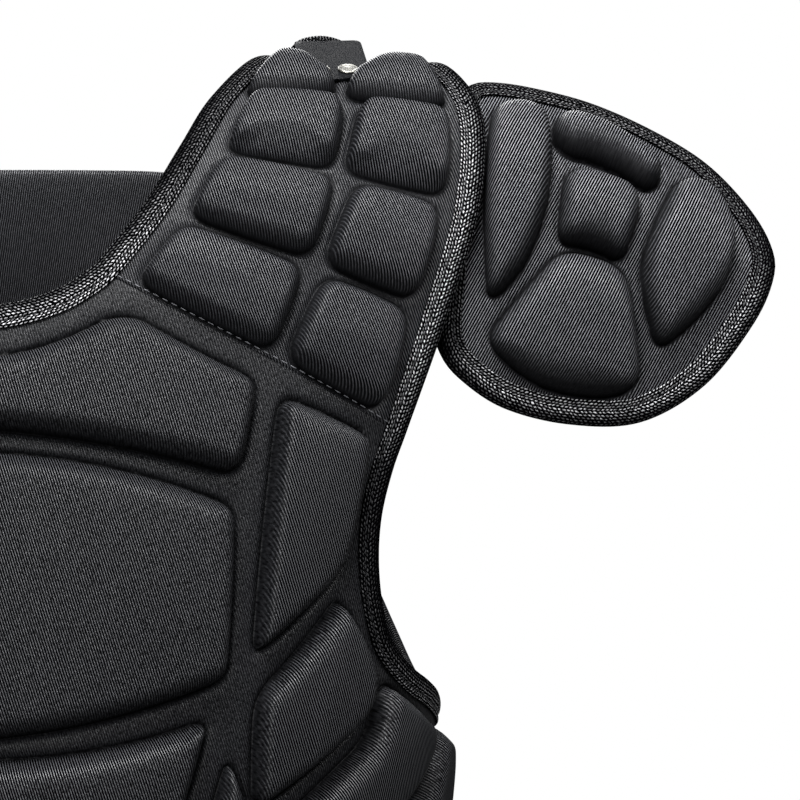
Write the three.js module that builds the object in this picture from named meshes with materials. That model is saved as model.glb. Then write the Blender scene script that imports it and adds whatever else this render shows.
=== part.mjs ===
// A moulded chest protector with shoulder caps and a plain back. Millimetres, +Z up.
// The wearer faces -Y, and the wearer's left is +X. The origin lies midway between the shoulders,
// at the height on which the shoulder panels rest.
import * as THREE from "three";

// Sheet, pads and tape
const SHEET = 5;
const CHEST_PAD = 11;
const SHOULDER_PAD = 9.5;
const CAP_PAD = 10;
const TAPE = 1.2;
const TAPE_SHOWN = 9.5;
const GAP = 0.5;
const SEAM_GAP = 0.4;

// Fineness of the facets
const EDGE_STEP = 17;
const PAD_STEP = 20;
const CORNER_PARTS = 2;
const FILL_STEP = 34;

// Torso: half breadth and depths of the sheet's outer face, level by level
const TORSO = [
  { z: -450, half: 168, front: 110, back: 96 },
  { z: -400, half: 171, front: 113, back: 99 },
  { z: -340, half: 175, front: 117, back: 104 },
  { z: -280, half: 181, front: 120, back: 109 },
  { z: -240, half: 184, front: 119, back: 112 },
  { z: -193, half: 187, front: 115, back: 113 },
  { z: -144, half: 196, front: 106, back: 110 },
  { z: -100, half: 206, front: 91, back: 104 },
  { z: -60, half: 214, front: 72, back: 96 },
  { z: -20, half: 220, front: 50, back: 88 },
];
const TORSO_POWER = 2.3;
const SIDE_TURN = THREE.MathUtils.degToRad(96);
const SIDE_TOP = -256;
const SIDE_FOOT = -388;
const HEM_DROP = 30;

// Shoulder panel: its neck edge and its arm edge, row by row from the seam over the crest to the tip
const SHOULDER = [
  { row: 0, neckX: 45.9, neckY: -78.8, neckZ: -75.6, armX: 168.8, armY: -62, armZ: -143.6, bow: 11 },
  { row: 1, neckX: 65.3, neckY: -68, neckZ: -51.5, armX: 185, armY: -57, armZ: -96.9, bow: 10 },
  { row: 2, neckX: 79.8, neckY: -53, neckZ: -26.8, armX: 198.6, armY: -46, armZ: -51.9, bow: 7 },
  { row: 3, neckX: 92, neckY: -35, neckZ: -5.4, armX: 200.5, armY: -30, armZ: -12.6, bow: 3 },
  { row: 4, neckX: 109, neckY: -12, neckZ: 11.6, armX: 186.5, armY: -9, armZ: 8.4, bow: -1.5 },
  { row: 5, neckX: 122, neckY: 20, neckZ: 7, armX: 173, armY: 20, armZ: 5, bow: -2 },
];
const SHOULDER_BREADTH = 120;
const ROW_LENGTH = 34;
const TIP_ROW = 4.2;
const TIP_LENGTH = 0.75;

// Shoulder pads: the sides of the two columns as shares of the breadth, and each row's ends
const SHOULDER_PADS = [
  { from: 0.07, to: 0.93, neckSide: 0.12, neckMid: 0.53, armMid: 0.585, armSide: 0.893 },
  { from: 1.07, to: 1.92, neckSide: 0.135, neckMid: 0.525, armMid: 0.58, armSide: 0.886 },
  { from: 2.06, to: 2.93, neckSide: 0.14, neckMid: 0.495, armMid: 0.54, armSide: 0.882 },
  { from: 3.08, to: 4, neckSide: 0.14, neckMid: 0.465, armMid: 0.525, armSide: 0.87 },
];

// The top pads are cut away on the side of the tab, from this row to these shares of the breadth
const TOP_CUT = { row: 3.36, neckShare: 0.195, armShare: 0.715 };

// Shoulder cap: a dome that starts behind the shoulder panel's arm edge and rolls back along its top
const CAP = {
  standOff: 12.5,
  spread: 0.14,
  dome: 9,
  centreX: 252,
  centreZ: -74,
  radiusX: 80,
  radiusZ: 74,
  rollFrom: 24,
  roll: 0.018,
};
const CAP_OUTLINE = [
  { x: 198, z: -1 },
  { x: 206, z: 1.6 },
  { x: 222, z: 0 },
  { x: 247, z: -6.3 },
  { x: 271.8, z: -17.3 },
  { x: 294.4, z: -31.6 },
  { x: 311.6, z: -50.6 },
  { x: 320.3, z: -67.3 },
  { x: 320, z: -80 },
  { x: 311.5, z: -97.8 },
  { x: 292, z: -122 },
  { x: 266.1, z: -136.8 },
  { x: 237.3, z: -137.6 },
  { x: 210.8, z: -131 },
  { x: 193.2, z: -119.2 },
  { x: 185.5, z: -109 },
  { x: 183.5, z: -98 },
  { x: 187, z: -75 },
  { x: 193, z: -45 },
  { x: 196.5, z: -18 },
];

// Pads by their corners, anticlockwise from outside; bow is the outward swell of the side that follows
const UPPER_CHEST = [
  { x: 0, z: -139.5, round: 12, bow: -3 },
  { x: 103.7, z: -158.5, round: 7, bow: 1 },
  { x: 111, z: -121, round: 7, bow: -1 },
  { x: 57, z: -92.6, round: 13, bow: -4 },
  { x: 0, z: -112.5, round: 12, bow: 0 },
];
const MIDDLE_CHEST = [
  { x: 0, z: -263, round: 12, bow: 4 },
  { x: 99.6, z: -239.6, round: 6, bow: 1 },
  { x: 102.5, z: -172, round: 6, bow: 5 },
  { x: 0, z: -150, round: 12, bow: 0 },
];
const LOWER_CHEST = [
  { x: 0, z: -349, round: 12, bow: 3 },
  { x: 66, z: -337, round: 8, bow: 1 },
  { x: 92.5, z: -256.5, round: 6, bow: -4 },
  { x: 0, z: -272, round: 12, bow: 0 },
];
const BELLY = [
  { x: 0, z: -403, round: 12, bow: 2 },
  { x: 47, z: -393, round: 9, bow: 1 },
  { x: 62, z: -348.5, round: 7, bow: -3 },
  { x: 0, z: -361, round: 12, bow: 0 },
];
const SIDE_PADS = [
  [
    { x: 112.5, z: -230, round: 6, bow: 1 },
    { x: 149.5, z: -197, round: 10, bow: 0.5 },
    { x: 160, z: -143.5, round: 6, bow: 0.5 },
    { x: 122, z: -127.5, round: 8, bow: 0.5 },
  ],
  [
    { x: 112.5, z: -292, round: 7, bow: 1 },
    { x: 161, z: -257.5, round: 8, bow: 1 },
    { x: 166.5, z: -239, round: 7, bow: 1 },
    { x: 149.5, z: -209, round: 5, bow: -1 },
    { x: 113.5, z: -247, round: 9, bow: 0.5 },
  ],
  [
    { x: 122, z: -331, round: 9, bow: 1 },
    { x: 188, z: -290, round: 12, bow: 2 },
    { x: 208, z: -262, round: 8, bow: 1 },
    { x: 175, z: -243.5, round: 6, bow: 0.5 },
    { x: 166.5, z: -266, round: 10, bow: 0.5 },
    { x: 121, z: -301, round: 8, bow: 0.5 },
  ],
  [
    { x: 128, z: -366, round: 8, bow: 1 },
    { x: 240, z: -312, round: 10, bow: 1 },
    { x: 243, z: -270, round: 9, bow: 1 },
    { x: 222, z: -262, round: 8, bow: 0.5 },
    { x: 199, z: -295, round: 12, bow: 0.5 },
    { x: 129, z: -341, round: 8, bow: 0.5 },
  ],
  [
    { x: 158, z: -373, round: 9, bow: 0.5 },
    { x: 233, z: -371, round: 9, bow: 0.5 },
    { x: 236, z: -326, round: 9, bow: 0.5 },
  ],
  [
    { x: 72, z: -372, round: 8, bow: 0.5 },
    { x: 114, z: -368, round: 9, bow: 0.5 },
    { x: 113, z: -306, round: 9, bow: 0.5 },
    { x: 101.5, z: -272.5, round: 5, bow: 0.5 },
  ],
];
const CAP_PADS = [
  [
    { x: 206.5, z: -88.5, round: 6, bow: 2 },
    { x: 224, z: -62, round: 14, bow: 1.5 },
    { x: 230, z: -20, round: 10, bow: 1 },
    { x: 226, z: -6, round: 7, bow: 1 },
    { x: 208, z: -5.5, round: 7, bow: 0.5 },
    { x: 205, z: -45, round: 14, bow: 0.3 },
  ],
  [
    { x: 234, z: -28, round: 8, bow: -3 },
    { x: 270, z: -43.5, round: 6, bow: 0.5 },
    { x: 277, z: -32.5, round: 7, bow: 1 },
    { x: 246, z: -10.4, round: 12, bow: 0.3 },
    { x: 233.5, z: -9.5, round: 7, bow: 0.5 },
  ],
  [
    { x: 233, z: -65, round: 6, bow: -2 },
    { x: 258, z: -72.3, round: 5, bow: 0.5 },
    { x: 267, z: -44.5, round: 9, bow: 1.5 },
    { x: 236.5, z: -34.5, round: 8, bow: 0.5 },
  ],
  [
    { x: 273.5, z: -108, round: 6, bow: 3 },
    { x: 305.5, z: -72, round: 14, bow: 1.5 },
    { x: 297.5, z: -43.5, round: 9, bow: 0.5 },
    { x: 283, z: -38, round: 8, bow: 1 },
    { x: 266, z: -75, round: 12, bow: 0.5 },
  ],
  [
    { x: 203.5, z: -104, round: 7, bow: 4 },
    { x: 241, z: -128, round: 14, bow: 1 },
    { x: 265, z: -124, round: 9, bow: 1 },
    { x: 259.5, z: -77, round: 8, bow: 1.5 },
    { x: 233.5, z: -69, round: 7, bow: 0.5 },
  ],
];

// Section of a pad: how far in from its outline, and the share of its full height there
const PAD_SECTION = [
  { inset: 0, rise: 0 },
  { inset: 2.2, rise: 0.6 },
  { inset: 7, rise: 0.93 },
];

// Back panel: half outline from the hem up to the neck edge, as girth from the centre back
const BACK_OUTLINE = [
  { girth: 189, z: -236 },
  { girth: 145, z: -190 },
  { girth: 112, z: -130 },
  { girth: 92, z: -85 },
  { girth: 78, z: -54 },
  { girth: 62, z: -37 },
  { girth: 44, z: -31 },
  { girth: 20, z: -29.6 },
];
const BACK_RADIUS = 160;

// Tab at the crest, by its distances back and up from its seat; its width tapers at both ends
const TAB = { share: 0.43, row: 3.97, thick: 1.5 };
const TAB_ROWS = [
  { back: -7.4, up: -1.2, half: 5.5 },
  { back: -6.6, up: -0.9, half: 8.6 },
  { back: -4.4, up: -0.3, half: 11.8 },
  { back: -1.5, up: 0.4, half: 13.6 },
  { back: 1, up: 1.1, half: 14.6 },
  { back: 2.4, up: 2.7, half: 14.8 },
  { back: 2.9, up: 5.4, half: 14.8 },
  { back: 3, up: 8.2, half: 14.4 },
  { back: 3, up: 9.4, half: 13 },
  { back: 3, up: 10, half: 11 },
];

// Strap from behind the tab to the back panel
const STRAP = { thick: 1.8, half: 13 };
const STRAP_ROWS = [
  { x: 0, back: 5.2, up: 1.8, roll: 0 },
  { x: 0, back: 5.1, up: 6, roll: 0.05 },
  { x: -0.5, back: 6.6, up: 10.2, roll: 0.1 },
  { x: -1, back: 10.5, up: 12.4, roll: 0.12 },
  { x: -2, back: 18, up: 11.6, roll: 0.12 },
  { x: -5, back: 32, up: 7.5, roll: 0.1 },
  { x: -12, back: 52, up: 3.5, roll: 0.08 },
  { x: -22, back: 74, up: -2, roll: 0.05 },
  { x: -32, back: 92, up: -13, roll: 0.03 },
  { x: -39, back: 101.5, up: -30, roll: 0 },
];
const STRAP_SEATS = [
  { girth: 61, z: -44 },
  { girth: 58, z: -58 },
  { girth: 56, z: -72 },
];

// Rivets of the tab: place across it, and profile
const RIVET_ACROSS = [-6.4, 6];
const RIVET_BACK = -3.6;
const RIVET_UP = -0.05;
const RIVET_TILT = THREE.MathUtils.degToRad(14);
const RIVET_PROFILE = [
  { radius: 0, height: 0 },
  { radius: 4.5, height: 0 },
  { radius: 4.6, height: 0.7 },
  { radius: 4, height: 1.4 },
  { radius: 2.4, height: 1.8 },
  { radius: 0, height: 1.9 },
];

// Smooth reading of a table: every column at one value of its key column
function read(table, key, at) {
  let i = 0;
  while (i < table.length - 2 && at > table[i + 1][key]) {
    i += 1;
  }
  const start = table[i];
  const end = table[i + 1];
  const before = table[Math.max(i - 1, 0)];
  const after = table[Math.min(i + 2, table.length - 1)];
  const step = end[key] - start[key];
  const t = (at - start[key]) / step;
  const values = {};
  for (const name of Object.keys(start)) {
    const slopeIn = ((end[name] - before[name]) / (end[key] - before[key])) * step;
    const slopeOut = ((after[name] - start[name]) / (after[key] - start[key])) * step;
    values[name] =
      (2 * t ** 3 - 3 * t ** 2 + 1) * start[name] +
      (t ** 3 - 2 * t ** 2 + t) * slopeIn +
      (3 * t ** 2 - 2 * t ** 3) * end[name] +
      (t ** 3 - t ** 2) * slopeOut;
  }
  return values;
}

// Torso surface by the turn from the centre front
function torsoPoint(level, turn) {
  const power = (value) => Math.sign(value) * Math.abs(value) ** (2 / TORSO_POWER);
  const depth = Math.cos(turn) > 0 ? level.front : level.back;
  return new THREE.Vector3(level.half * power(Math.sin(turn)), -depth * power(Math.cos(turn)), level.z);
}

// Girth: the distance round the torso from the centre front
const GIRTH_PARTS = 240;
function girthToTurn(level, girth) {
  const goal = Math.abs(girth);
  const step = (0.7 * Math.PI) / GIRTH_PARTS;
  let here = torsoPoint(level, 0);
  let walked = 0;
  for (let i = 1; i <= GIRTH_PARTS; i += 1) {
    const next = torsoPoint(level, i * step);
    const length = next.distanceTo(here);
    if (walked + length >= goal) {
      return Math.sign(girth) * (i - 1 + (goal - walked) / length) * step;
    }
    walked += length;
    here = next;
  }
  return Math.sign(girth) * GIRTH_PARTS * step;
}

function turnToGirth(z, turn) {
  const level = read(TORSO, "z", z);
  let here = torsoPoint(level, 0);
  let walked = 0;
  for (let i = 1; i <= GIRTH_PARTS; i += 1) {
    const next = torsoPoint(level, (turn * i) / GIRTH_PARTS);
    walked += next.distanceTo(here);
    here = next;
  }
  return walked;
}

function chestPoint(x, z) {
  const level = read(TORSO, "z", z);
  return torsoPoint(level, girthToTurn(level, x));
}

function backPoint(x, z) {
  const level = read(TORSO, "z", z);
  return torsoPoint(level, Math.PI + x / BACK_RADIUS);
}

// Point and outward normal on a surface given by two coordinates
function frameOn(point, x, z) {
  const step = 0.6;
  const across = point(x + step, z).sub(point(x - step, z));
  const along = point(x, z + step).sub(point(x, z - step));
  return { point: point(x, z), normal: across.cross(along).normalize() };
}
const chestFace = (spot) => frameOn(chestPoint, spot.x, spot.y);
const backFace = (spot) => frameOn(backPoint, spot.x, spot.y);

// The seam runs straight between the chest's two upper corners, in girth and height
const SEAM_NECK = new THREE.Vector2(45.9, -75.6);
const SEAM_ARM = new THREE.Vector2(178.1, -143.6);
const seamSpot = (share) => SEAM_NECK.clone().lerp(SEAM_ARM, share);

// Shoulder surface: ruled from edge to edge, bowed outward, and drawn onto the chest along the seam
function ruledPoint(share, row) {
  const at = read(SHOULDER, "row", row);
  const neck = new THREE.Vector3(at.neckX, at.neckY, at.neckZ);
  const arm = new THREE.Vector3(at.armX, at.armY, at.armZ);
  const ahead = read(SHOULDER, "row", row + 0.05);
  const behind = read(SHOULDER, "row", row - 0.05);
  const rise = new THREE.Vector3(
    ahead.neckX + ahead.armX - behind.neckX - behind.armX,
    ahead.neckY + ahead.armY - behind.neckY - behind.armY,
    ahead.neckZ + ahead.armZ - behind.neckZ - behind.armZ,
  );
  const out = arm.clone().sub(neck).cross(rise).normalize();
  return neck.lerp(arm, share).addScaledVector(out, at.bow * 4 * share * (1 - share));
}
function shoulderPoint(x, z) {
  const share = x / SHOULDER_BREADTH;
  const row = z / ROW_LENGTH;
  const fade = Math.max(0, 1 - row / 2.2) ** 2;
  const seam = seamSpot(share);
  const pull = chestPoint(seam.x, seam.y).sub(ruledPoint(share, 0));
  return ruledPoint(share, row).addScaledVector(pull, fade);
}
function shoulderFace(spot) {
  const frame = frameOn(shoulderPoint, spot.x, spot.y);
  const blend = THREE.MathUtils.smoothstep(spot.y / ROW_LENGTH, 0.02, 0.35);
  const seam = seamSpot(spot.x / SHOULDER_BREADTH);
  frame.normal.lerp(chestFace(seam).normal, 1 - blend).normalize();
  return frame;
}

// Cap surface: the arm edge's own lean, set back from it, domed, with its top rolled back
function capPoint(x, z) {
  const edge = read(SHOULDER, "armZ", Math.min(z, 6));
  const dx = x - CAP.centreX;
  const dz = z - CAP.centreZ;
  const reach = Math.max(0, 0.45 * dx + 0.89 * dz - CAP.rollFrom);
  const round = (dx / CAP.radiusX) ** 2 + (dz / CAP.radiusZ) ** 2 - 1;
  const back = CAP.standOff + CAP.spread * (x - edge.armX) + CAP.dome * round + CAP.roll * reach ** 2;
  return new THREE.Vector3(x, edge.armY + back, z);
}
const capFace = (spot) => frameOn(capPoint, spot.x, spot.y);

// Outlines
function mirrorHalf(half) {
  const other = half
    .filter((corner) => corner.x !== 0)
    .map((corner) => ({ ...corner, x: -corner.x }))
    .reverse();
  const full = [...half, ...other];
  const bows = full.map((corner) => corner.bow);
  const turned = half.map((corner) => corner.bow).slice(0, -1).reverse();
  turned.forEach((bow, i) => {
    bows[half.length - 1 + i] = bow;
  });
  return full.map((corner, i) => ({ ...corner, bow: bows[i] }));
}

function roundedOutline(corners) {
  const count = corners.length;
  const spots = corners.map((corner) => new THREE.Vector2(corner.x, corner.z));
  const onSide = (i, t) => {
    const start = spots[i];
    const end = spots[(i + 1) % count];
    const run = end.clone().sub(start);
    const out = new THREE.Vector2(run.y, -run.x).normalize();
    return start.clone().lerp(end, t).addScaledVector(out, 4 * corners[i].bow * t * (1 - t));
  };
  const outline = [];
  corners.forEach((corner, i) => {
    const last = (i + count - 1) % count;
    const lengthIn = spots[last].distanceTo(spots[i]);
    const lengthOut = spots[i].distanceTo(spots[(i + 1) % count]);
    const cutIn = Math.min(corner.round / lengthIn, 0.45);
    const cutOut = Math.min(corner.round / lengthOut, 0.45);
    const bend = new THREE.QuadraticBezierCurve(onSide(last, 1 - cutIn), spots[i], onSide(i, cutOut));
    outline.push(...bend.getPoints(CORNER_PARTS));
    const next = corners[(i + 1) % count];
    const endCut = 1 - Math.min(next.round / lengthOut, 0.45);
    const parts = Math.max(1, Math.round(((endCut - cutOut) * lengthOut) / PAD_STEP));
    for (let k = 1; k < parts; k += 1) {
      outline.push(onSide(i, cutOut + ((endCut - cutOut) * k) / parts));
    }
  });
  return outline;
}

function splineSpots(knots, closed, step) {
  const curve = new THREE.CatmullRomCurve3(knots, closed, "catmullrom", 0.5);
  curve.arcLengthDivisions = 400;
  const parts = Math.round(curve.getLength() / step);
  const spots = curve.getSpacedPoints(parts).map((knot) => new THREE.Vector2(knot.x, knot.y));
  return spots;
}
const knot = (x, z) => new THREE.Vector3(x, z, 0);

// Triangulation of an outline with holes, and points inside it, as near to equal-sided as they allow
function triangulate(rim, holes, extras) {
  const spots = [...rim, ...holes.flat(), ...extras];
  const area = (a, b, c) =>
    (spots[b].x - spots[a].x) * (spots[c].y - spots[a].y) -
    (spots[c].x - spots[a].x) * (spots[b].y - spots[a].y);
  let faces = THREE.ShapeUtils.triangulateShape(rim, holes).map(([a, b, c]) =>
    area(a, b, c) > 0 ? [a, b, c] : [a, c, b],
  );
  extras.forEach((extra, k) => {
    const p = spots.length - extras.length + k;
    const home = faces.findIndex(
      ([a, b, c]) => area(a, b, p) > 0.05 && area(b, c, p) > 0.05 && area(c, a, p) > 0.05,
    );
    if (home >= 0) {
      const [a, b, c] = faces[home];
      faces.splice(home, 1, [a, b, p], [b, c, p], [c, a, p]);
    }
  });
  const inCircle = (a, b, c, d) => {
    const row = (i) => {
      const x = spots[i].x - spots[d].x;
      const y = spots[i].y - spots[d].y;
      return [x, y, x * x + y * y];
    };
    return new THREE.Matrix3().set(...row(a), ...row(b), ...row(c)).determinant() > 1e-6;
  };
  for (let pass = 0; pass < 60; pass += 1) {
    const owners = new Map();
    faces.forEach((face, f) =>
      face.forEach((a, k) => owners.set(a * spots.length + face[(k + 1) % 3], [f, face[(k + 2) % 3]])),
    );
    const touched = new Set();
    let flips = 0;
    for (const [edge, [f, c]] of owners) {
      const a = Math.floor(edge / spots.length);
      const b = edge % spots.length;
      const twin = owners.get(b * spots.length + a);
      if (!twin || touched.has(f) || touched.has(twin[0])) {
        continue;
      }
      const d = twin[1];
      if (inCircle(a, b, c, d) && area(a, d, c) > 1e-3 && area(d, b, c) > 1e-3) {
        faces[f] = [a, d, c];
        faces[twin[0]] = [d, b, c];
        touched.add(f).add(twin[0]);
        flips += 1;
      }
    }
    if (!flips) {
      break;
    }
  }
  return faces;
}

function inside(spot, outline) {
  let odd = false;
  outline.forEach((a, i) => {
    const b = outline[(i + 1) % outline.length];
    if (a.y > spot.y !== b.y > spot.y && spot.x < ((b.x - a.x) * (spot.y - a.y)) / (b.y - a.y) + a.x) {
      odd = !odd;
    }
  });
  return odd;
}

function innerGrid(outline, step) {
  const box = new THREE.Box2().setFromPoints(outline);
  const far = (spot) => outline.every((edge) => edge.distanceTo(spot) > 0.45 * step);
  const spots = [];
  for (let y = box.min.y + step / 2; y < box.max.y; y += step) {
    for (let x = box.min.x + step / 2; x < box.max.x; x += step) {
      const spot = new THREE.Vector2(x, y);
      if (inside(spot, outline) && far(spot)) {
        spots.push(spot);
      }
    }
  }
  return spots;
}

// Closed solid made face by face on a surface
class Shell {
  constructor(face) {
    this.face = face;
    this.spots = [];
    this.points = [];
    this.triangles = [];
  }

  add(spots, height) {
    return spots.map((spot) => {
      const { point, normal } = this.face(spot);
      this.spots.push(spot);
      this.points.push(point.addScaledVector(normal, height));
      return this.points.length - 1;
    });
  }

  fill(rim, holes, extras, outward) {
    const ids = [...rim, ...holes.flat(), ...extras];
    const at = (list) => list.map((id) => this.spots[id]);
    for (const [a, b, c] of triangulate(at(rim), holes.map(at), at(extras))) {
      this.triangles.push(outward ? [ids[a], ids[b], ids[c]] : [ids[a], ids[c], ids[b]]);
    }
  }

  band(outer, inner) {
    outer.forEach((a, i) => {
      const next = (i + 1) % outer.length;
      this.triangles.push([a, outer[next], inner[next]], [a, inner[next], inner[i]]);
    });
  }

  geometry() {
    return indexed(this.points, this.triangles);
  }
}

function indexed(points, triangles) {
  const geometry = new THREE.BufferGeometry().setFromPoints(points);
  geometry.setIndex(triangles.flat());
  geometry.computeVertexNormals();
  return geometry;
}

// Spine of a pad: the middle stretch of its longest direction, toward which its section closes
function spineOf(outline) {
  const centre = new THREE.Vector2();
  outline.forEach((spot) => centre.addScaledVector(spot, 1 / outline.length));
  let xx = 0;
  let xy = 0;
  let yy = 0;
  for (const spot of outline) {
    const d = spot.clone().sub(centre);
    xx += d.x * d.x;
    xy += d.x * d.y;
    yy += d.y * d.y;
  }
  const angle = 0.5 * Math.atan2(2 * xy, xx - yy);
  const axis = new THREE.Vector2(Math.cos(angle), Math.sin(angle));
  const long = outline.map((spot) => spot.clone().sub(centre).dot(axis));
  const wide = outline.map((spot) => spot.clone().sub(centre).cross(axis));
  const spread = (values) => Math.max(...values) - Math.min(...values);
  const half = 0.45 * Math.max(0, spread(long) - spread(wide));
  return { centre, axis, half };
}

function insetOutline(outline, spine, inset) {
  return outline.map((spot, i) => {
    const before = outline[(i + outline.length - 1) % outline.length];
    const after = outline[(i + 1) % outline.length];
    const run = after.clone().sub(before);
    const out = new THREE.Vector2(run.y, -run.x).normalize();
    const along = spot.clone().sub(spine.centre).dot(spine.axis);
    const reach = THREE.MathUtils.clamp(along, -spine.half, spine.half);
    const anchor = spine.centre.clone().addScaledVector(spine.axis, reach);
    const arm = spot.clone().sub(anchor);
    const depth = Math.max(arm.dot(out), 1.6 * inset);
    return anchor.addScaledVector(arm, 1 - inset / depth);
  });
}

// Where the tape's free edge lies on the sheet
function tapeLine(face, spots) {
  return spots.map((spot, i) => {
    const run = spots[Math.min(i + 1, spots.length - 1)].clone().sub(spots[Math.max(i - 1, 0)]);
    const inward = new THREE.Vector2(-run.y, run.x).normalize();
    const probe = spot.clone().addScaledVector(inward, TAPE_SHOWN);
    const reach = face(probe).point.distanceTo(face(spot).point);
    return spot.clone().addScaledVector(inward, (TAPE_SHOWN * TAPE_SHOWN) / reach);
  });
}

// Sheet with raised pads, all one moulding
function mouldedSheet(face, outline, pads, padHeight, taped = []) {
  const line = taped.flatMap((spots) => tapeLine(face, spots)).filter((spot) => inside(spot, outline));
  const clear = (spot, room) => line.every((other) => other.distanceTo(spot) > room);
  const shell = new Shell(face);
  const rim = shell.add(outline, 0);
  const under = shell.add(outline, -SHEET);
  const feet = pads.map((pad) => shell.add(pad, 0));
  const open = innerGrid(outline, FILL_STEP * 0.6).filter((spot) =>
    pads.every((pad) => !inside(spot, pad) && pad.every((edge) => edge.distanceTo(spot) > 9)),
  );
  const free = open.filter((spot) => clear(spot, 9));
  const backing = innerGrid(outline, FILL_STEP).filter((spot) => clear(spot, 13));
  shell.fill(rim, feet, shell.add([...line, ...free], 0), true);
  shell.fill(under, [], shell.add([...line, ...backing], -SHEET), false);
  shell.band(under, rim);
  pads.forEach((pad, k) => {
    const spine = spineOf(pad);
    let ring = feet[k];
    for (const { inset, rise } of PAD_SECTION.slice(1)) {
      const next = shell.add(insetOutline(pad, spine, inset), rise * padHeight);
      shell.band(ring, next);
      ring = next;
    }
    const parts = Math.max(1, Math.round(spine.half / 14));
    const ridge = [];
    for (let i = -parts; i <= parts; i += 1) {
      if (spine.half > 8 || i === 0) {
        ridge.push(spine.centre.clone().addScaledVector(spine.axis, (0.8 * spine.half * i) / parts));
      }
    }
    shell.fill(ring, [], shell.add(ridge, padHeight), true);
  });
  return shell.geometry();
}

// Folded tape round an edge: one eight-point section at each spot of the edge
function tapeRows(face, spots) {
  const innerSpots = tapeLine(face, spots);
  return spots.map((spot, i) => {
    const edge = face(spot);
    const inner = face(innerSpots[i]);
    const out = edge.point.clone().sub(inner.point);
    out.addScaledVector(edge.normal, -out.dot(edge.normal)).normalize();
    const atEdge = (reach, height) =>
      edge.point.clone().addScaledVector(out, reach).addScaledVector(edge.normal, height);
    const atInner = (height) => inner.point.clone().addScaledVector(inner.normal, height);
    const top = GAP + TAPE;
    const foot = -SHEET - GAP;
    return [
      atInner(foot - TAPE),
      atEdge(top, foot - TAPE),
      atEdge(top, top),
      atInner(top),
      atInner(GAP),
      atEdge(GAP, GAP),
      atEdge(GAP, foot),
      atInner(foot),
    ];
  });
}
const TAPE_ENDS = [
  [0, 1, 6],
  [0, 6, 7],
  [1, 2, 5],
  [1, 5, 6],
  [2, 3, 4],
  [2, 4, 5],
];
const STRIP_ENDS = [
  [0, 1, 2],
  [0, 2, 3],
];

// Solid through rows of matching points
function loft(rows, ends) {
  const size = rows[0].length;
  const triangles = [];
  for (let r = 0; r + 1 < rows.length; r += 1) {
    for (let i = 0; i < size; i += 1) {
      const a = r * size + i;
      const b = r * size + ((i + 1) % size);
      triangles.push([a, a + size, b + size], [a, b + size, b]);
    }
  }
  const last = (rows.length - 1) * size;
  for (const [a, b, c] of ends) {
    triangles.push([a, b, c], [last + a, last + c, last + b]);
  }
  return indexed(rows.flat(), triangles);
}

const acrossMiddle = (rows) =>
  rows.map((row) => row.map((point) => new THREE.Vector3(-point.x, point.y, point.z))).reverse();

// Flat strip along a path of centre points, with a half width and a roll at each
function stripRows(path, thick) {
  return path.map(({ point, half, roll, normal }, i) => {
    const ahead = path[Math.min(i + 1, path.length - 1)].point;
    const behind = path[Math.max(i - 1, 0)].point;
    const run = ahead.clone().sub(behind).normalize();
    const level = new THREE.Vector3(Math.cos(roll), 0, -Math.sin(roll));
    const side = normal ? run.clone().cross(normal) : level;
    side.addScaledVector(run, -side.dot(run)).normalize();
    const up = side.clone().cross(run);
    const at = (reach, height) => point.clone().addScaledVector(side, reach).addScaledVector(up, height);
    return [at(-half, 0), at(half, 0), at(half, thick), at(-half, thick)];
  });
}

// Materials
const finish = (name, color, roughness, metalness) =>
  Object.assign(new THREE.MeshStandardMaterial({ color, roughness, metalness }), { name });
const twill = finish("twill", 0x25262b, 0.85, 0);
const braid = finish("braid", 0x1d1e22, 0.9, 0);
const leatherette = finish("leatherette", 0x1b1c20, 0.45, 0);
const nickel = finish("nickel", 0xb9b9b6, 0.25, 1);

const protector = new THREE.Group();
protector.name = "chest_protector";

function addPiece(name, geometry, material, mirrored) {
  const mesh = new THREE.Mesh(geometry, material);
  mesh.name = name;
  mesh.scale.x = mirrored ? -1 : 1;
  protector.add(mesh);
}
function addPair(name, geometry, material, suffix = "") {
  addPiece(`${name}_left${suffix}`, geometry, material, false);
  addPiece(`${name}_right${suffix}`, geometry, material, true);
}

// Chest panel
const sideSpot = (z) => new THREE.Vector2(turnToGirth(z, SIDE_TURN), z);
const armholeKnots = [
  knot(turnToGirth(SIDE_TOP, SIDE_TURN), SIDE_TOP),
  knot(239, -252),
  knot(211, -244.5),
  knot(193, -238),
  knot(178.4, -227),
  knot(171.7, -211.7),
  knot(168.5, -193.5),
  knot(168.8, -175.4),
  knot(173, -157.3),
  knot(SEAM_ARM.x, SEAM_ARM.y),
];
const neckKnots = [
  knot(SEAM_NECK.x, SEAM_NECK.y),
  knot(34.1, -83.7),
  knot(19.8, -89.4),
  knot(0, -92.5),
  knot(-19.8, -89.4),
  knot(-34.1, -83.7),
  knot(-SEAM_NECK.x, SEAM_NECK.y),
];
const flip = (spots) => spots.map((spot) => new THREE.Vector2(-spot.x, spot.y)).reverse();
const SEAM_PARTS = 9;
const HEM_PARTS = 15;
const hemSide = sideSpot(SIDE_FOOT);
const hemSpots = [];
for (let i = 0; i <= HEM_PARTS; i += 1) {
  const share = i / HEM_PARTS;
  const drop = HEM_DROP * Math.cos((share * Math.PI) / 2) ** 2;
  hemSpots.push(new THREE.Vector2(hemSide.x * share, SIDE_FOOT - drop));
}
const sideSpots = [];
for (let i = 1; i < 8; i += 1) {
  sideSpots.push(sideSpot(SIDE_FOOT + ((SIDE_TOP - SIDE_FOOT) * i) / 8));
}
const armholeSpots = splineSpots(armholeKnots, false, EDGE_STEP * 0.8);
const neckSpots = splineSpots(neckKnots, false, EDGE_STEP * 0.8);
const seamSpots = [];
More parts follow.
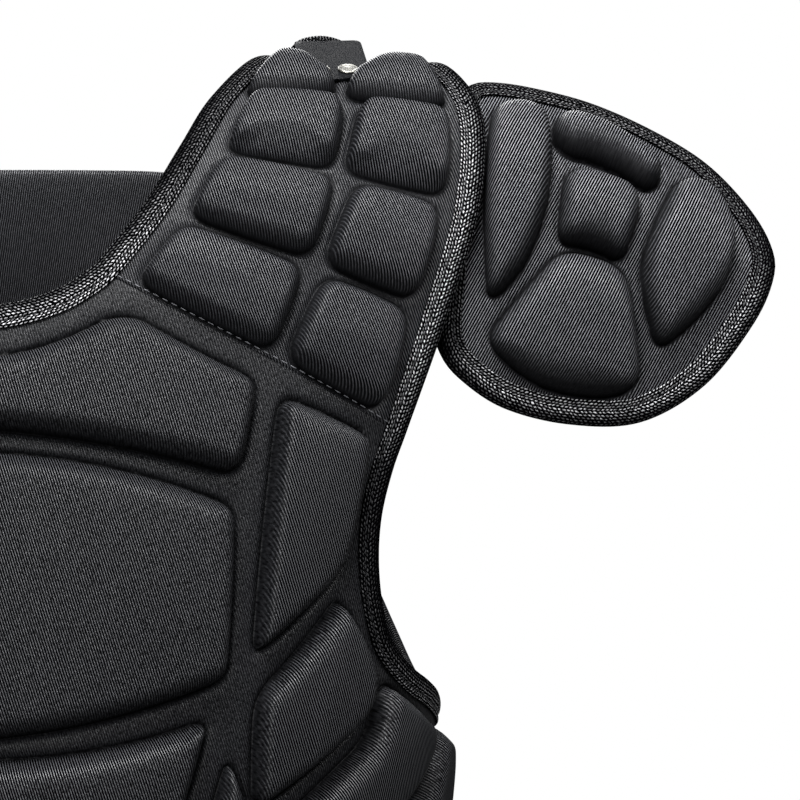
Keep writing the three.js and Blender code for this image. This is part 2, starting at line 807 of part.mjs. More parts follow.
for (let i = 1; i < SEAM_PARTS; i += 1) {
  const bow = -0.25 * Math.sin((Math.PI * i) / SEAM_PARTS);
  seamSpots.push(seamSpot(1 - i / SEAM_PARTS).add(new THREE.Vector2(0, bow)));
}
const chestRight = [...hemSpots.slice(1), ...sideSpots, ...armholeSpots, ...seamSpots];
const chestOutline = [hemSpots[0], ...chestRight, ...neckSpots, ...flip(chestRight)];
const sidePads = SIDE_PADS.map(roundedOutline);
const chestPads = [
  ...[UPPER_CHEST, MIDDLE_CHEST, LOWER_CHEST, BELLY].map((half) => roundedOutline(mirrorHalf(half))),
  ...sidePads,
  ...sidePads.map(flip),
];
const hemEdge = [...flip(hemSpots), ...hemSpots.slice(1)];
const chestTaped = [armholeSpots, neckSpots, flip(armholeSpots), hemEdge];
const chestSheet = mouldedSheet(chestFace, chestOutline, chestPads, CHEST_PAD, chestTaped);
addPiece("chest_panel", chestSheet, twill, false);

// Shoulder panels
const shoulderSpot = (share, row) => new THREE.Vector2(share * SHOULDER_BREADTH, row * ROW_LENGTH);
const SIDE_PARTS = 14;
const TIP_PARTS = 12;
const seamRow = SEAM_GAP / 45;
const armSpots = [];
for (let i = 0; i <= SIDE_PARTS; i += 1) {
  const share = i / SIDE_PARTS;
  const swell = 0.004 * Math.sin(Math.PI * share);
  armSpots.push(shoulderSpot(1 + swell, seamRow + (TIP_ROW - seamRow) * share));
}
const tipSpots = [];
for (let i = 1; i < TIP_PARTS; i += 1) {
  const angle = (Math.PI * i) / TIP_PARTS;
  tipSpots.push(shoulderSpot(0.5 + 0.5 * Math.cos(angle), TIP_ROW + TIP_LENGTH * Math.sin(angle)));
}
const neckSideSpots = armSpots
  .map((spot) => new THREE.Vector2(SHOULDER_BREADTH - spot.x, spot.y))
  .reverse();
const seamFoot = [];
for (let i = 1; i < SEAM_PARTS; i += 1) {
  const share = i / SEAM_PARTS;
  seamFoot.push(shoulderSpot(share, seamRow + 0.004 * Math.sin(Math.PI * share)));
}
const shoulderEdge = [...armSpots, ...tipSpots, ...neckSideSpots];
const shoulderOutline = [...seamFoot, ...shoulderEdge];
const shoulderPads = SHOULDER_PADS.flatMap((row) =>
  [
    [row.neckSide, row.neckMid, -1],
    [row.armMid, row.armSide, 1],
  ].map(([left, right, side]) => {
    const corner = (share, at) => {
      const spot = shoulderSpot(share, at);
      return { x: spot.x, z: spot.y, round: 9, bow: 1.2 };
    };
    const ends = [corner(right - 0.01, row.to), corner(left + 0.01, row.to)];
    if (row.to > TOP_CUT.row && side < 0) {
      ends[0] = corner(TOP_CUT.neckShare, row.to - 0.03);
      ends.unshift(corner(right, TOP_CUT.row));
    }
    if (row.to > TOP_CUT.row && side > 0) {
      ends[1] = corner(TOP_CUT.armShare, row.to);
      ends.push(corner(left, TOP_CUT.row));
    }
    return roundedOutline([corner(left, row.from), corner(right, row.from), ...ends]);
  }),
);
const shoulderSheet = mouldedSheet(shoulderFace, shoulderOutline, shoulderPads, SHOULDER_PAD, [shoulderEdge]);
addPair("shoulder_panel", shoulderSheet, twill);

// Shoulder caps
const capKnots = CAP_OUTLINE.map((row) => knot(row.x, row.z)).reverse();
const capOutline = splineSpots(capKnots, true, EDGE_STEP * 0.62).slice(0, -1);
const visible = capOutline.filter((spot) => {
  const edge = read(SHOULDER, "armZ", Math.min(spot.y, 6));
  return spot.x > edge.armX - 3;
});
const startAt = visible.findIndex((spot, i) => visible.at(i - 1).distanceTo(spot) > 2 * EDGE_STEP);
const capEdge = [...visible.slice(Math.max(startAt, 0)), ...visible.slice(0, Math.max(startAt, 0))];
const capSheet = mouldedSheet(capFace, capOutline, CAP_PADS.map(roundedOutline), CAP_PAD, [capEdge]);
addPair("shoulder_cap", capSheet, twill);

// Bindings
const chestTape = tapeRows(chestFace, armholeSpots);
const shoulderTape = tapeRows(shoulderFace, shoulderEdge).slice(1, -1);
const neckTape = tapeRows(chestFace, neckSpots);
const edgeTape = [
  ...chestTape,
  ...shoulderTape,
  ...neckTape,
  ...acrossMiddle(shoulderTape),
  ...acrossMiddle(chestTape),
];
addPiece("edge_binding", loft(edgeTape, TAPE_ENDS), braid, false);
const hemTape = tapeRows(chestFace, hemEdge);
addPiece("hem_binding", loft(hemTape, TAPE_ENDS), braid, false);
addPair("cap_binding", loft(tapeRows(capFace, capEdge), TAPE_ENDS), braid);

// Back panel
const backSide = (SIDE_TURN - Math.PI) * -BACK_RADIUS - SEAM_GAP;
const backKnots = [
  knot(backSide, SIDE_TOP),
  ...BACK_OUTLINE.map((row) => knot(row.girth, row.z)),
  ...[...BACK_OUTLINE].reverse().map((row) => knot(-row.girth, row.z)),
  knot(-backSide, SIDE_TOP),
];
const backTop = splineSpots(backKnots, false, EDGE_STEP);
const backHem = [];
for (let i = 0; i < 2 * HEM_PARTS; i += 1) {
  const share = i / HEM_PARTS - 1;
  backHem.push(new THREE.Vector2(backSide * share, SIDE_FOOT - 4 * Math.cos((share * Math.PI) / 2)));
}
const backSides = [];
for (let i = 0; i < 8; i += 1) {
  const share = i / 8;
  const ease = 0.3 * Math.sin(Math.PI * share);
  backSides.push(new THREE.Vector2(backSide - ease, SIDE_FOOT + (SIDE_TOP - SIDE_FOOT) * share));
}
const backOutline = [...backHem, ...backSides, ...backTop, ...flip(backSides).slice(0, -1)];
addPiece("back_panel", mouldedSheet(backFace, backOutline, [], 0), twill, false);

// Tabs, straps and rivets
const seat = shoulderFace(shoulderSpot(TAB.share, TAB.row)).point;
const fromSeat = (x, back, up) => seat.clone().add(new THREE.Vector3(x, back, up));
const tabPath = TAB_ROWS.map((row) => ({ point: fromSeat(0, row.back, row.up), half: row.half, roll: 0 }));
addPair("shoulder_tab", loft(stripRows(tabPath, TAB.thick), STRIP_ENDS), leatherette);
const strapSeats = STRAP_SEATS.map((row) => {
  const { point, normal } = backFace(new THREE.Vector2(-row.girth, row.z));
  return { point: point.addScaledVector(normal, 2 * GAP), half: STRAP.half, normal };
});
const strapPath = [
  ...STRAP_ROWS.map((row) => ({
    point: fromSeat(row.x, row.back, row.up),
    half: STRAP.half,
    roll: row.roll,
  })),
  ...strapSeats,
];
addPair("back_strap", loft(stripRows(strapPath, STRAP.thick), STRIP_ENDS), braid);
const rivetProfile = RIVET_PROFILE.map((row) => new THREE.Vector2(row.radius, row.height));
RIVET_ACROSS.forEach((across, i) => {
  const rivet = new THREE.LatheGeometry(rivetProfile, 20);
  rivet.rotateX(Math.PI / 2 + RIVET_TILT);
  const up = new THREE.Vector3(0, -Math.sin(RIVET_TILT), Math.cos(RIVET_TILT));
  const place = fromSeat(across, RIVET_BACK, RIVET_UP).addScaledVector(up, TAB.thick + GAP);
  rivet.translate(place.x, place.y, place.z);
  addPair("tab_rivet", rivet, nickel, `_${i + 1}`);
});

export default protector;
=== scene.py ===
"""A moulded chest protector shirt with shoulder caps, dressed over its CAD frame.

Sizes are in millimetres until a mesh is made, which is in metres. The wearer faces -Y, and the wearer's
left is +X.
"""

import logging
import math
from dataclasses import dataclass, field, replace
from enum import Enum

import bpy
import numpy as np
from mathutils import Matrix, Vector
from mathutils.geometry import delaunay_2d_cdt


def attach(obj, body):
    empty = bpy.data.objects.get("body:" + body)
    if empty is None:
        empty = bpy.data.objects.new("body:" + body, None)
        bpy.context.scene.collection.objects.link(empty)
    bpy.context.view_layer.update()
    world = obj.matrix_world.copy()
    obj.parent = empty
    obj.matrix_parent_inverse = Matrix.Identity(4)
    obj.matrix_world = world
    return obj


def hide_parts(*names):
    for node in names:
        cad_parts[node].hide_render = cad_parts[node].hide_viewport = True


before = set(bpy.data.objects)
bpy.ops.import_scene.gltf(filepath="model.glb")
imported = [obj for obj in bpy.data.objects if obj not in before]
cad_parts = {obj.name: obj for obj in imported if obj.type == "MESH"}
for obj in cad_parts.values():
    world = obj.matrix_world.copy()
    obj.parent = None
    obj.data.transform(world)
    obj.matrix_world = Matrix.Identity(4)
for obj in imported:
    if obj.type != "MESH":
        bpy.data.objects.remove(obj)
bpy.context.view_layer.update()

LOG = logging.getLogger("chest_protector")
CLOTH_MAP = "cloth"
DRAWN_AND_SHADE = "drawn_and_shade"
# How far a panel's edge lies below its outer face, where it ends free and where it is sewn on
FREE_DROP = 2.5
SEWN_DROP = 0.8
# Turns round the trunk at which distances are measured
TURNS = np.linspace(0, 0.7 * math.pi, 241)
TAPE_STITCH = {"Pitch": 3.0, "Length": 2.3, "Width": 0.55, "Height": 0.5}
SEAM_STITCH = {"Pitch": 4.1, "Length": 3.0, "Width": 0.5, "Height": 0.5}
Array = np.ndarray
Material = bpy.types.Material
Tree = bpy.types.NodeTree
Corner = tuple[float, float, float, float]


class Slot(Enum):
    """Material slots of the record."""

    TWILL = "twill"
    BRAID = "braid"
    LEATHERETTE = "leatherette"
    NICKEL = "nickel"


class Side(Enum):
    """The wearer's two sides, by the sign of X."""

    LEFT = 1
    RIGHT = -1


# Small helpers


def linear(code: str) -> tuple[float, float, float, float]:
    """Turns an sRGB colour into the linear one that a shader takes.

    Args:
        code: Six hex digits.

    Returns:
        Red, green, blue and alpha.
    """
    parts = [int(code[i : i + 2], 16) / 255 for i in (0, 2, 4)]
    red, green, blue = (c / 12.92 if c <= 0.04045 else ((c + 0.055) / 1.055) ** 2.4 for c in parts)
    return red, green, blue, 1.0


def feed(node: bpy.types.Node, feeds: dict | tuple) -> None:
    """Fills or links a node's inputs.

    Args:
        node: The node.
        feeds: Value or output socket for each input: in their order, or by their names or places.
    """
    for key, value in feeds.items() if isinstance(feeds, dict) else enumerate(feeds):
        if isinstance(value, bpy.types.NodeSocket):
            node.id_data.links.new(value, node.inputs[key])
        else:
            node.inputs[key].default_value = value


def add_node(tree: Tree, kind: str, feeds: dict | tuple = (), **settings) -> bpy.types.bpy_prop_collection:
    """Adds a node with its settings and its inputs.

    Args:
        tree: The tree that gets the node.
        kind: Blender's name of the node's type.
        feeds: What its inputs get, as in feed. A map range's are its value, the range that the value comes
            from and the range that it goes to.
        **settings: The node's own properties.

    Returns:
        The node's outputs.
    """
    made = tree.nodes.new(kind)
    for name, value in settings.items():
        setattr(made, name, value)
    feed(made, feeds)
    return made.outputs


def unit(vectors: Array) -> Array:
    """Rows of vectors at length one."""
    return vectors / np.maximum(np.linalg.norm(vectors, axis=-1, keepdims=True), 1e-9)


def bezier(start: Array, bend: Array, end: Array, parts: int) -> Array:
    """Points of a quadratic curve, both ends included."""
    t = np.linspace(0, 1, parts + 1)[:, None]
    return (1 - t) ** 2 * start + 2 * t * (1 - t) * bend + t**2 * end


def spline(knots: Array, step: float, closed: bool = False) -> Array:
    """Lays evenly spaced spots on a smooth line through knots.

    Args:
        knots: Knots in any number of dimensions.
        step: Wanted distance between spots.
        closed: Whether the line returns to its first knot.

    Returns:
        The spots; a closed line doesn't repeat its first one.
    """
    knots = np.asarray(knots, float)
    if closed:
        line = np.concatenate([knots[-1:], knots, knots[:2]])
    else:
        line = np.concatenate([2 * knots[:1] - knots[1:2], knots, 2 * knots[-1:] - knots[-2:-1]])
    t = np.linspace(0, 1, 40, endpoint=False)[:, None]
    pieces = []
    for a, b, c, d in zip(line, line[1:], line[2:], line[3:]):
        in_slope, out_slope = (c - a) / 2, (d - b) / 2
        cubic = (2 * b - 2 * c + in_slope + out_slope) * t**3
        pieces.append(cubic + (3 * c - 3 * b - 2 * in_slope - out_slope) * t**2 + in_slope * t + b)
    dense = np.concatenate([*pieces, line[-2:-1]])
    walked = np.concatenate([[0], np.cumsum(np.linalg.norm(np.diff(dense, axis=0), axis=1))])
    at = np.linspace(0, walked[-1], max(2, round(walked[-1] / step)) + 1)
    spots = np.stack([np.interp(at, walked, column) for column in dense.T], axis=1)
    return spots[:-1] if closed else spots


def mirrored_line(spots: Array) -> Array:
    """A line on the other side of the middle, in reverse order."""
    return (spots * ([-1] + [1] * (spots.shape[1] - 1)))[::-1]


@dataclass(frozen=True)
class SizeTable:
    """Columns of sizes that are read smoothly along one of them."""

    names: tuple[str, ...]
    rows: tuple[tuple[float, ...], ...]

    def read(self, at: Array, key: str | None = None) -> dict[str, Array]:
        """Reads every column.

        Args:
            at: Values of the key column.
            key: The key column, or the first one.

        Returns:
            Each column's values by its name.
        """
        at = np.atleast_1d(np.asarray(at, float))
        grid = np.array(self.rows)
        k = self.names.index(key or self.names[0])
        keys = grid[:, k]
        i = (at[:, None] > keys[None, 1:-1]).cumprod(axis=1).sum(axis=1)
        start, end = grid[i], grid[i + 1]
        before, after = grid[np.maximum(i - 1, 0)], grid[np.minimum(i + 2, len(keys) - 1)]
        step = (end[:, k] - start[:, k])[:, None]
        t = (at[:, None] - start[:, k : k + 1]) / step
        slope_in = (end - before) / (end - before)[:, k : k + 1] * step
        slope_out = (after - start) / (after - start)[:, k : k + 1] * step
        values = (2 * t**3 - 3 * t**2 + 1) * start + (t**3 - 2 * t**2 + t) * slope_in
        values += (3 * t**2 - 2 * t**3) * end + (t**3 - t**2) * slope_out
        return dict(zip(self.names, values.T))


# Flat patterns


@dataclass(frozen=True)
class Loop:
    """A closed line on a flat pattern, anticlockwise seen from outside."""

    spots: Array

    def outward(self) -> Array:
        """Outward directions at the spots."""
        run = np.roll(self.spots, -1, axis=0) - np.roll(self.spots, 1, axis=0)
        return unit(np.stack([run[:, 1], -run[:, 0]], axis=1))

    def distance(self, at: Array) -> tuple[Array, Array]:
        """Measures how far spots lie from the line.

        Args:
            at: Spots, one a row.

        Returns:
            The distances, and the places of the nearest stretches of the line.
        """
        start = self.spots
        run = np.roll(start, -1, axis=0) - start
        length = np.maximum((run**2).sum(axis=1), 1e-9)
        far, near = np.empty(len(at)), np.empty(len(at), int)
        for low in range(0, len(at), 2000):
            arm = at[low : low + 2000, None, :] - start[None]
            share = np.clip((arm * run).sum(axis=2) / length, 0, 1)
            gap = np.linalg.norm(arm - share[..., None] * run, axis=2)
            near[low : low + 2000] = gap.argmin(axis=1)
            far[low : low + 2000] = gap.min(axis=1)
        return far, near

    def holds(self, at: Array) -> Array:
        """Says which spots lie inside."""
        a, b = self.spots, np.roll(self.spots, -1, axis=0)
        rise = np.where(b[:, 1] == a[:, 1], 1e-12, b[:, 1] - a[:, 1])
        odd = np.zeros(len(at), bool)
        for low in range(0, len(at), 4000):
            x, y = at[low : low + 4000, 0:1], at[low : low + 4000, 1:2]
            spans = (a[:, 1] > y) != (b[:, 1] > y)
            left = x < (b[:, 0] - a[:, 0]) * (y - a[:, 1]) / rise + a[:, 0]
            odd[low : low + 4000] = (spans & left).sum(axis=1) % 2 == 1
        return odd

    def ring(self, inset: float) -> Array:
        """Spots that lie inside at one distance from the line, or outside if it is negative."""
        spots = self.spots - inset * self.outward()
        return spots[self.distance(spots)[0] > 0.93 * abs(inset)]

    def grid(self, step: float, margin: float) -> Array:
        """Staggered spots inside, at least a margin away from the line."""
        low, high = self.spots.min(axis=0), self.spots.max(axis=0)
        x, y = np.meshgrid(np.arange(low[0], high[0], step), np.arange(low[1], high[1], step * 0.87))
        x[1::2] += step / 2
        spots = np.stack([x.ravel(), y.ravel()], axis=1)
        spots = spots[self.holds(spots)]
        return spots[self.distance(spots)[0] > margin]


def rounded_loop(corners: list[Corner], step: float = 2.4, outset: float = 0.7) -> Loop:
    """Draws a pad's outline from its corners.

    Args:
        corners: X, Z, size of the rounding, and outward bow of the side that follows, for each corner.
        step: Distance between spots along the sides.
        outset: How far the cloth over the pad's foot stands outside the foam.

    Returns:
        The outline.
    """
    spots = np.array([corner[:2] for corner in corners])
    ends = np.roll(spots, -1, axis=0)
    lengths = np.linalg.norm(ends - spots, axis=1)
    rounds = np.array([corner[2] for corner in corners])

    def on_side(i: int, t: Array) -> Array:
        """Spots on the bowed side that starts at corner i."""
        run = ends[i] - spots[i]
        out = np.array([run[1], -run[0]]) / lengths[i]
        t = np.atleast_1d(t)[:, None]
        return spots[i] + run * t + out * 4 * corners[i][3] * t * (1 - t)

    outline = []
    for i in range(len(corners)):
        last, following = i - 1, (i + 1) % len(corners)
        cut_in = min(rounds[i] / lengths[last], 0.45)
        cut_out = min(rounds[i] / lengths[i], 0.45)
        start, end = on_side(last % len(corners), 1 - cut_in)[0], on_side(i, cut_out)[0]
        outline.append(bezier(start, spots[i], end, max(4, round(1.6 * rounds[i] / step))))
        end_cut = 1 - min(rounds[following] / lengths[i], 0.45)
        parts = max(1, round((end_cut - cut_out) * lengths[i] / step))
        outline.append(on_side(i, np.linspace(cut_out, end_cut, parts + 1)[1:-1]))
    loop = Loop(np.concatenate(outline))
    return Loop(loop.spots + outset * loop.outward())


def whole(half: list[Corner]) -> list[Corner]:
    """Completes a pad across the middle from the corners of its left half, foot first."""
    other = [corner for corner in half if corner[0] != 0][::-1]
    full = half + [(-x, z, size, bow) for x, z, size, bow in other]
    bows = [corner[3] for corner in half[:-1]]
    bows = bows + bows[::-1]
    return [(x, z, size, bow) for (x, z, size, _), bow in zip(full, bows)]


# Faces of the shirt


class Face:
    """An outer face of the shirt, over two pattern coordinates."""

    def point(self, x: Array, z: Array) -> Array:
        """Places of pattern spots."""
        raise NotImplementedError

    def stand(self, spots: Array) -> tuple[Array, Array]:
        """Finds places and outward directions.

        Args:
            spots: Pattern spots, one a row.

        Returns:
            Their places and unit normals.
        """
        step = 0.6
        x, z = spots.T
        across = self.point(x + step, z) - self.point(x - step, z)
        along = self.point(x, z + step) - self.point(x, z - step)
        return self.point(x, z), unit(np.cross(across, along))

    def cloth(self, spots: Array) -> Array:
        """Lies of the spots on the uncut cloth, in millimetres."""
        return spots


@dataclass(frozen=True)
class Torso:
    """The trunk that the panels lie round, level by level."""

    table: SizeTable = SizeTable(
        ("z", "half", "front", "back"),
        (
            (-450, 168, 110, 96), (-400, 171, 113, 99), (-340, 175, 117, 104), (-280, 181, 120, 109),
            (-240, 184, 119, 112), (-193, 187, 115, 113), (-144, 196, 106, 110), (-100, 206, 91, 104),
            (-60, 214, 72, 96), (-20, 220, 50, 88),
        ),
    )
    power: float = 2.3
    side_turn: float = math.radians(96)
    side_top: float = -256
    side_foot: float = -388

    def squared(self, values: Array) -> Array:
        """Sines or cosines, bent to the trunk's squarish section."""
        return np.sign(values) * np.abs(values) ** (2 / self.power)

    def around(self, z: Array, turn: Array) -> Array:
        """Places at turns from the centre front."""
        level = self.table.read(z)
        depth = np.where(np.cos(turn) > 0, level["front"], level["back"])
        return np.stack(
            [level["half"] * self.squared(np.sin(turn)), -depth * self.squared(np.cos(turn)), z], axis=1
        )

    def walk(self, z: Array, turns: Array) -> Array:
        """Distances walked round the trunk from the centre front to each turn, one level a row."""
        level = self.table.read(z)
        side, ahead = self.squared(np.sin(turns)), self.squared(np.cos(turns))
        middle = np.cos((turns[1:] + turns[:-1]) / 2) > 0
        depth = np.where(middle, level["front"][:, None], level["back"][:, None])
        steps = np.hypot(level["half"][:, None] * np.diff(side), depth * np.diff(ahead))
        return np.concatenate([np.zeros((len(z), 1)), np.cumsum(steps, axis=1)], axis=1)

    def turn_at(self, z: Array, girth: Array) -> Array:
        """Turns at which a distance round the trunk is reached."""
        found = np.empty(len(z))
        for low in range(0, len(z), 8000):
            walked = self.walk(z[low : low + 8000], TURNS)
            goal = np.abs(girth[low : low + 8000])
            i = np.clip((walked < goal[:, None]).sum(axis=1) - 1, 0, len(TURNS) - 2)
            rows = np.arange(len(goal))
            share = (goal - walked[rows, i]) / (walked[rows, i + 1] - walked[rows, i])
            found[low : low + 8000] = (i + share) * TURNS[1]
        return np.sign(girth) * found

    def girth_at_side(self, z: Array) -> Array:
        """Distance round the trunk to the side seam."""
        return self.walk(np.atleast_1d(z), np.linspace(0, self.side_turn, 241))[:, -1]


@dataclass(frozen=True)
class ChestFace(Face):
    """The front, by girth from the centre front and by height."""

    torso: Torso = Torso()

    def point(self, x: Array, z: Array) -> Array:
        """Places of pattern spots."""
        return self.torso.around(z, self.torso.turn_at(z, x))


@dataclass(frozen=True)
class BackFace(Face):
    """The back, by turn from the centre back on a fixed radius and by height."""

    torso: Torso = Torso()
    radius: float = 160
    cloth_level: float = -250

    def point(self, x: Array, z: Array) -> Array:
        """Places of pattern spots."""
        return self.torso.around(z, math.pi + x / self.radius)

    def cloth(self, spots: Array) -> Array:
        """Lies of the spots on the cloth, by girth from the centre back."""
        girths = self.torso.walk(np.array([self.cloth_level]), math.pi - TURNS)[0]
        girth = np.interp(np.abs(spots[:, 0]) / self.radius, TURNS, girths)
        return np.stack([np.sign(spots[:, 0]) * girth, spots[:, 1]], axis=1)


SHOULDER_ROWS = SizeTable(
    ("row", "neck_x", "neck_y", "neck_z", "arm_x", "arm_y", "arm_z", "bow"),
    (
        (0, 45.9, -78.8, -75.6, 168.8, -62, -143.6, 11),
        (1, 65.3, -68, -51.5, 185, -57, -96.9, 10),
        (2, 79.8, -53, -26.8, 198.6, -46, -51.9, 7),
        (3, 92, -35, -5.4, 200.5, -30, -12.6, 3),
        (4, 109, -12, 11.6, 186.5, -9, 8.4, -1.5),
        (5, 122, 20, 7, 173, 20, 5, -2),
    ),
)


@dataclass(frozen=True)
class ShoulderFace(Face):
    """A shoulder, by share of its breadth and by row, from the seam over the crest."""

    chest: ChestFace = ChestFace()
    breadth: float = 120
    row_length: float = 34
    seam_neck: tuple[float, float] = (45.9, -75.6)
    seam_arm: tuple[float, float] = (178.1, -143.6)

    def spot(self, share: Array, row: Array) -> Array:
        """Pattern spots at shares of the breadth and rows."""
        share, row = np.broadcast_arrays(np.asarray(share, float), np.asarray(row, float))
        return np.stack([share * self.breadth, row * self.row_length], axis=-1)

    def seam(self, share: Array) -> Array:
        """Chest pattern spots along the seam."""
        share = np.atleast_1d(share)[:, None]
        return np.array(self.seam_neck) * (1 - share) + np.array(self.seam_arm) * share

    def ruled(self, share: Array, row: Array) -> Array:
        """Places on the face before the seam draws it in."""

        def edges(at: Array) -> tuple[Array, Array, Array]:
            """Neck and arm ends of rows, and their bow."""
            read = SHOULDER_ROWS.read(at)
            neck = np.stack([read["neck_x"], read["neck_y"], read["neck_z"]], axis=1)
            arm = np.stack([read["arm_x"], read["arm_y"], read["arm_z"]], axis=1)
            return neck, arm, read["bow"]

        neck, arm, bow = edges(row)
        ahead, behind = edges(row + 0.05), edges(row - 0.05)
        out = unit(np.cross(arm - neck, ahead[0] + ahead[1] - behind[0] - behind[1]))
        swell = bow * 4 * share * (1 - share)
        return neck + (arm - neck) * share[:, None] + out * swell[:, None]

    def point(self, x: Array, z: Array) -> Array:
        """Places of pattern spots."""
        share, row = x / self.breadth, z / self.row_length
        fade = np.maximum(0, 1 - row / 2.2)[:, None] ** 2
        seam = self.seam(share)
        pull = self.chest.point(seam[:, 0], seam[:, 1]) - self.ruled(share, 0 * row)
        return self.ruled(share, row) + pull * fade

    def stand(self, spots: Array) -> tuple[Array, Array]:
        """Places and outward directions, which turn to the chest's at the seam."""
        places, normals = super().stand(spots)
        t = np.clip((spots[:, 1] / self.row_length - 0.02) / 0.33, 0, 1)[:, None]
        blend = t * t * (3 - 2 * t)
        seam_normals = self.chest.stand(self.seam(spots[:, 0] / self.breadth))[1]
        return places, unit(normals * blend + seam_normals * (1 - blend))

    def cloth(self, spots: Array) -> Array:
        """Lies of the spots on the cloth: level across, and upward along the slope."""
        rows = np.linspace(-0.2, 5.2, 110)
        middle = self.ruled(np.full(110, 0.5), rows)
        lift = np.linalg.norm(np.diff(middle[:, 1:], axis=0), axis=1) - np.diff(middle[:, 2])
        extra = np.interp(spots[:, 1] / self.row_length, rows, np.concatenate([[0], np.cumsum(lift)]))
        places = self.point(*spots.T)
        return np.stack([places[:, 0], places[:, 2] + extra], axis=1)


@dataclass(frozen=True)
class CapFace(Face):
    """A shoulder cap, by X and Z: set back from the shoulder's arm edge, domed, with its top rolled back."""

    stand_off: float = 12.5
    spread: float = 0.14
    dome: float = 9
    centre: tuple[float, float] = (252, -74)
    radii: tuple[float, float] = (80, 74)
    roll_from: float = 24
    roll: float = 0.018

    def point(self, x: Array, z: Array) -> Array:
        """Places of pattern spots."""
        edge = SHOULDER_ROWS.read(np.minimum(z, 6), "arm_z")
        dx, dz = x - self.centre[0], z - self.centre[1]
        reach = np.maximum(0, 0.45 * dx + 0.89 * dz - self.roll_from)
        bulge = (dx / self.radii[0]) ** 2 + (dz / self.radii[1]) ** 2 - 1
        back = self.stand_off + self.spread * (x - edge["arm_x"]) + self.dome * bulge + self.roll * reach**2
        return np.stack([x, edge["arm_y"] + back, z], axis=1)


# Meshes


@dataclass
class Shell:
    """A closed skin: places in millimetres, faces, lies on the cloth, and how far the cloth is pulled out,
    which also carries its painted shade and painted highlight.
    """

    places: Array
    faces: list[tuple[int, ...]]
    cloth: Array
    drawn_and_shade: Array | float = 0.0

    def mirrored(self) -> "Shell":
        """The same skin on the other side."""
        faces = [face[::-1] for face in self.faces]
        return Shell(self.places * [-1, 1, 1], faces, self.cloth * [-1, 1], self.drawn_and_shade)

    def on(self, side: Side) -> "Shell":
        """The skin on one of the two sides, given the left one."""
        return self if side is Side.LEFT else self.mirrored()

    def piece(self, name: str, material: Material) -> bpy.types.Object:
        """Makes the skin an object of the scene.

        Args:
            name: Name of the object.
            material: Its material.

        Returns:
            The object, at the origin, with smooth faces that point outward.
        """
        mesh = bpy.data.meshes.new(name)
        mesh.from_pydata((self.places / 1000).tolist(), [], self.faces)
        corners = np.empty(len(mesh.loops), np.int32)
        mesh.loops.foreach_get("vertex_index", corners)
        layer = mesh.uv_layers.new(name=CLOTH_MAP)
        layer.data.foreach_set("uv", self.cloth[corners].astype(np.float32).ravel())
        drawn_and_shade = np.broadcast_to(self.drawn_and_shade, len(self.places)).astype(np.float32)
        mesh.attributes.new(DRAWN_AND_SHADE, "FLOAT", "POINT").data.foreach_set("value", drawn_and_shade)
        mesh.materials.append(material)
        mesh.shade_smooth()
        mesh.validate()
        obj = bpy.data.objects.new(name, mesh)
        bpy.context.scene.collection.objects.link(obj)
        return obj


def fill(border: Array, creases: list[Array], inner: Array) -> tuple[Array, Array, Array]:
    """Fills a pattern with triangles.

    Args:
        border: Spots of its outline.
        creases: Closed lines that edges follow.
        inner: Further spots.

    Returns:
        All spots, the triangles, and for each spot its place in the border or -1.
    """
    edges, start = [], 0
    for line in [border, *creases]:
        edges += [(start + i, start + (i + 1) % len(line)) for i in range(len(line))]
        start += len(line)
    spots = np.concatenate([border, *creases, inner])
    made = delaunay_2d_cdt([Vector(spot) for spot in spots.tolist()], edges, [], 1, 1e-5)
    found = np.array([tuple(spot) for spot in made[0]])
    triangles = np.array([face for face in made[2] if len(face) == 3])
    a, b, c = (found[triangles[:, k]] for k in range(3))
    turn = np.cross(b - a, c - a)
    triangles[turn < 0] = triangles[turn < 0][:, ::-1]
    home = np.array([min([i for i in origin if i < len(border)], default=-1) for origin in made[3]])
    return found, triangles[np.abs(turn) > 1e-9], home


@dataclass(frozen=True)
class PadForm:
    """How a mould shapes a pad, how it draws the cloth over it, and the shade and highlight painted on that
    cloth.

    Attributes:
        height: Height over the sheet, in millimetres.
        wall: Width of the side walls, in millimetres.
        top_wall: Width of a wall that faces up.
        foot_wall: Width of a wall that faces down.
        bevel: How much straighter a wall that faces up is.
        crown: Share of the height that swells like a blown-up skin.
        roof: Distance of the ridge below the top edge, in millimetres.
        top_drop: Share of the height that is missing at the top edge, or added if negative.
        foot_drop: Share of the height that is missing at the foot.
        crease: Depth of the crease round the pad, in millimetres.
        shade: How far walls that face down part the cloth's ribs into painted shade, darkening them.
        top_shade: How far walls that face up do so, as painted shade on them.
        top_ribs: How far the ribs lie open on top.
        rim_highlight: How far they lie open on walls that face up, which paints a highlight along those
            walls.
        wall_fade: How fast the ribs part from the top of a wall to its foot; less is faster.
    """

    height: float
    wall: float = 6
    top_wall: float = 9
    foot_wall: float = 7
    bevel: float = 0
    crown: float = 0.14
    roof: float = 14
    top_drop: float = 0.08
    foot_drop: float = 0.1
    crease: float = 2.0
    shade: float = 1
    top_shade: float = 0
    top_ribs: float = 0
    rim_highlight: float = 0
    wall_fade: float = 0.7


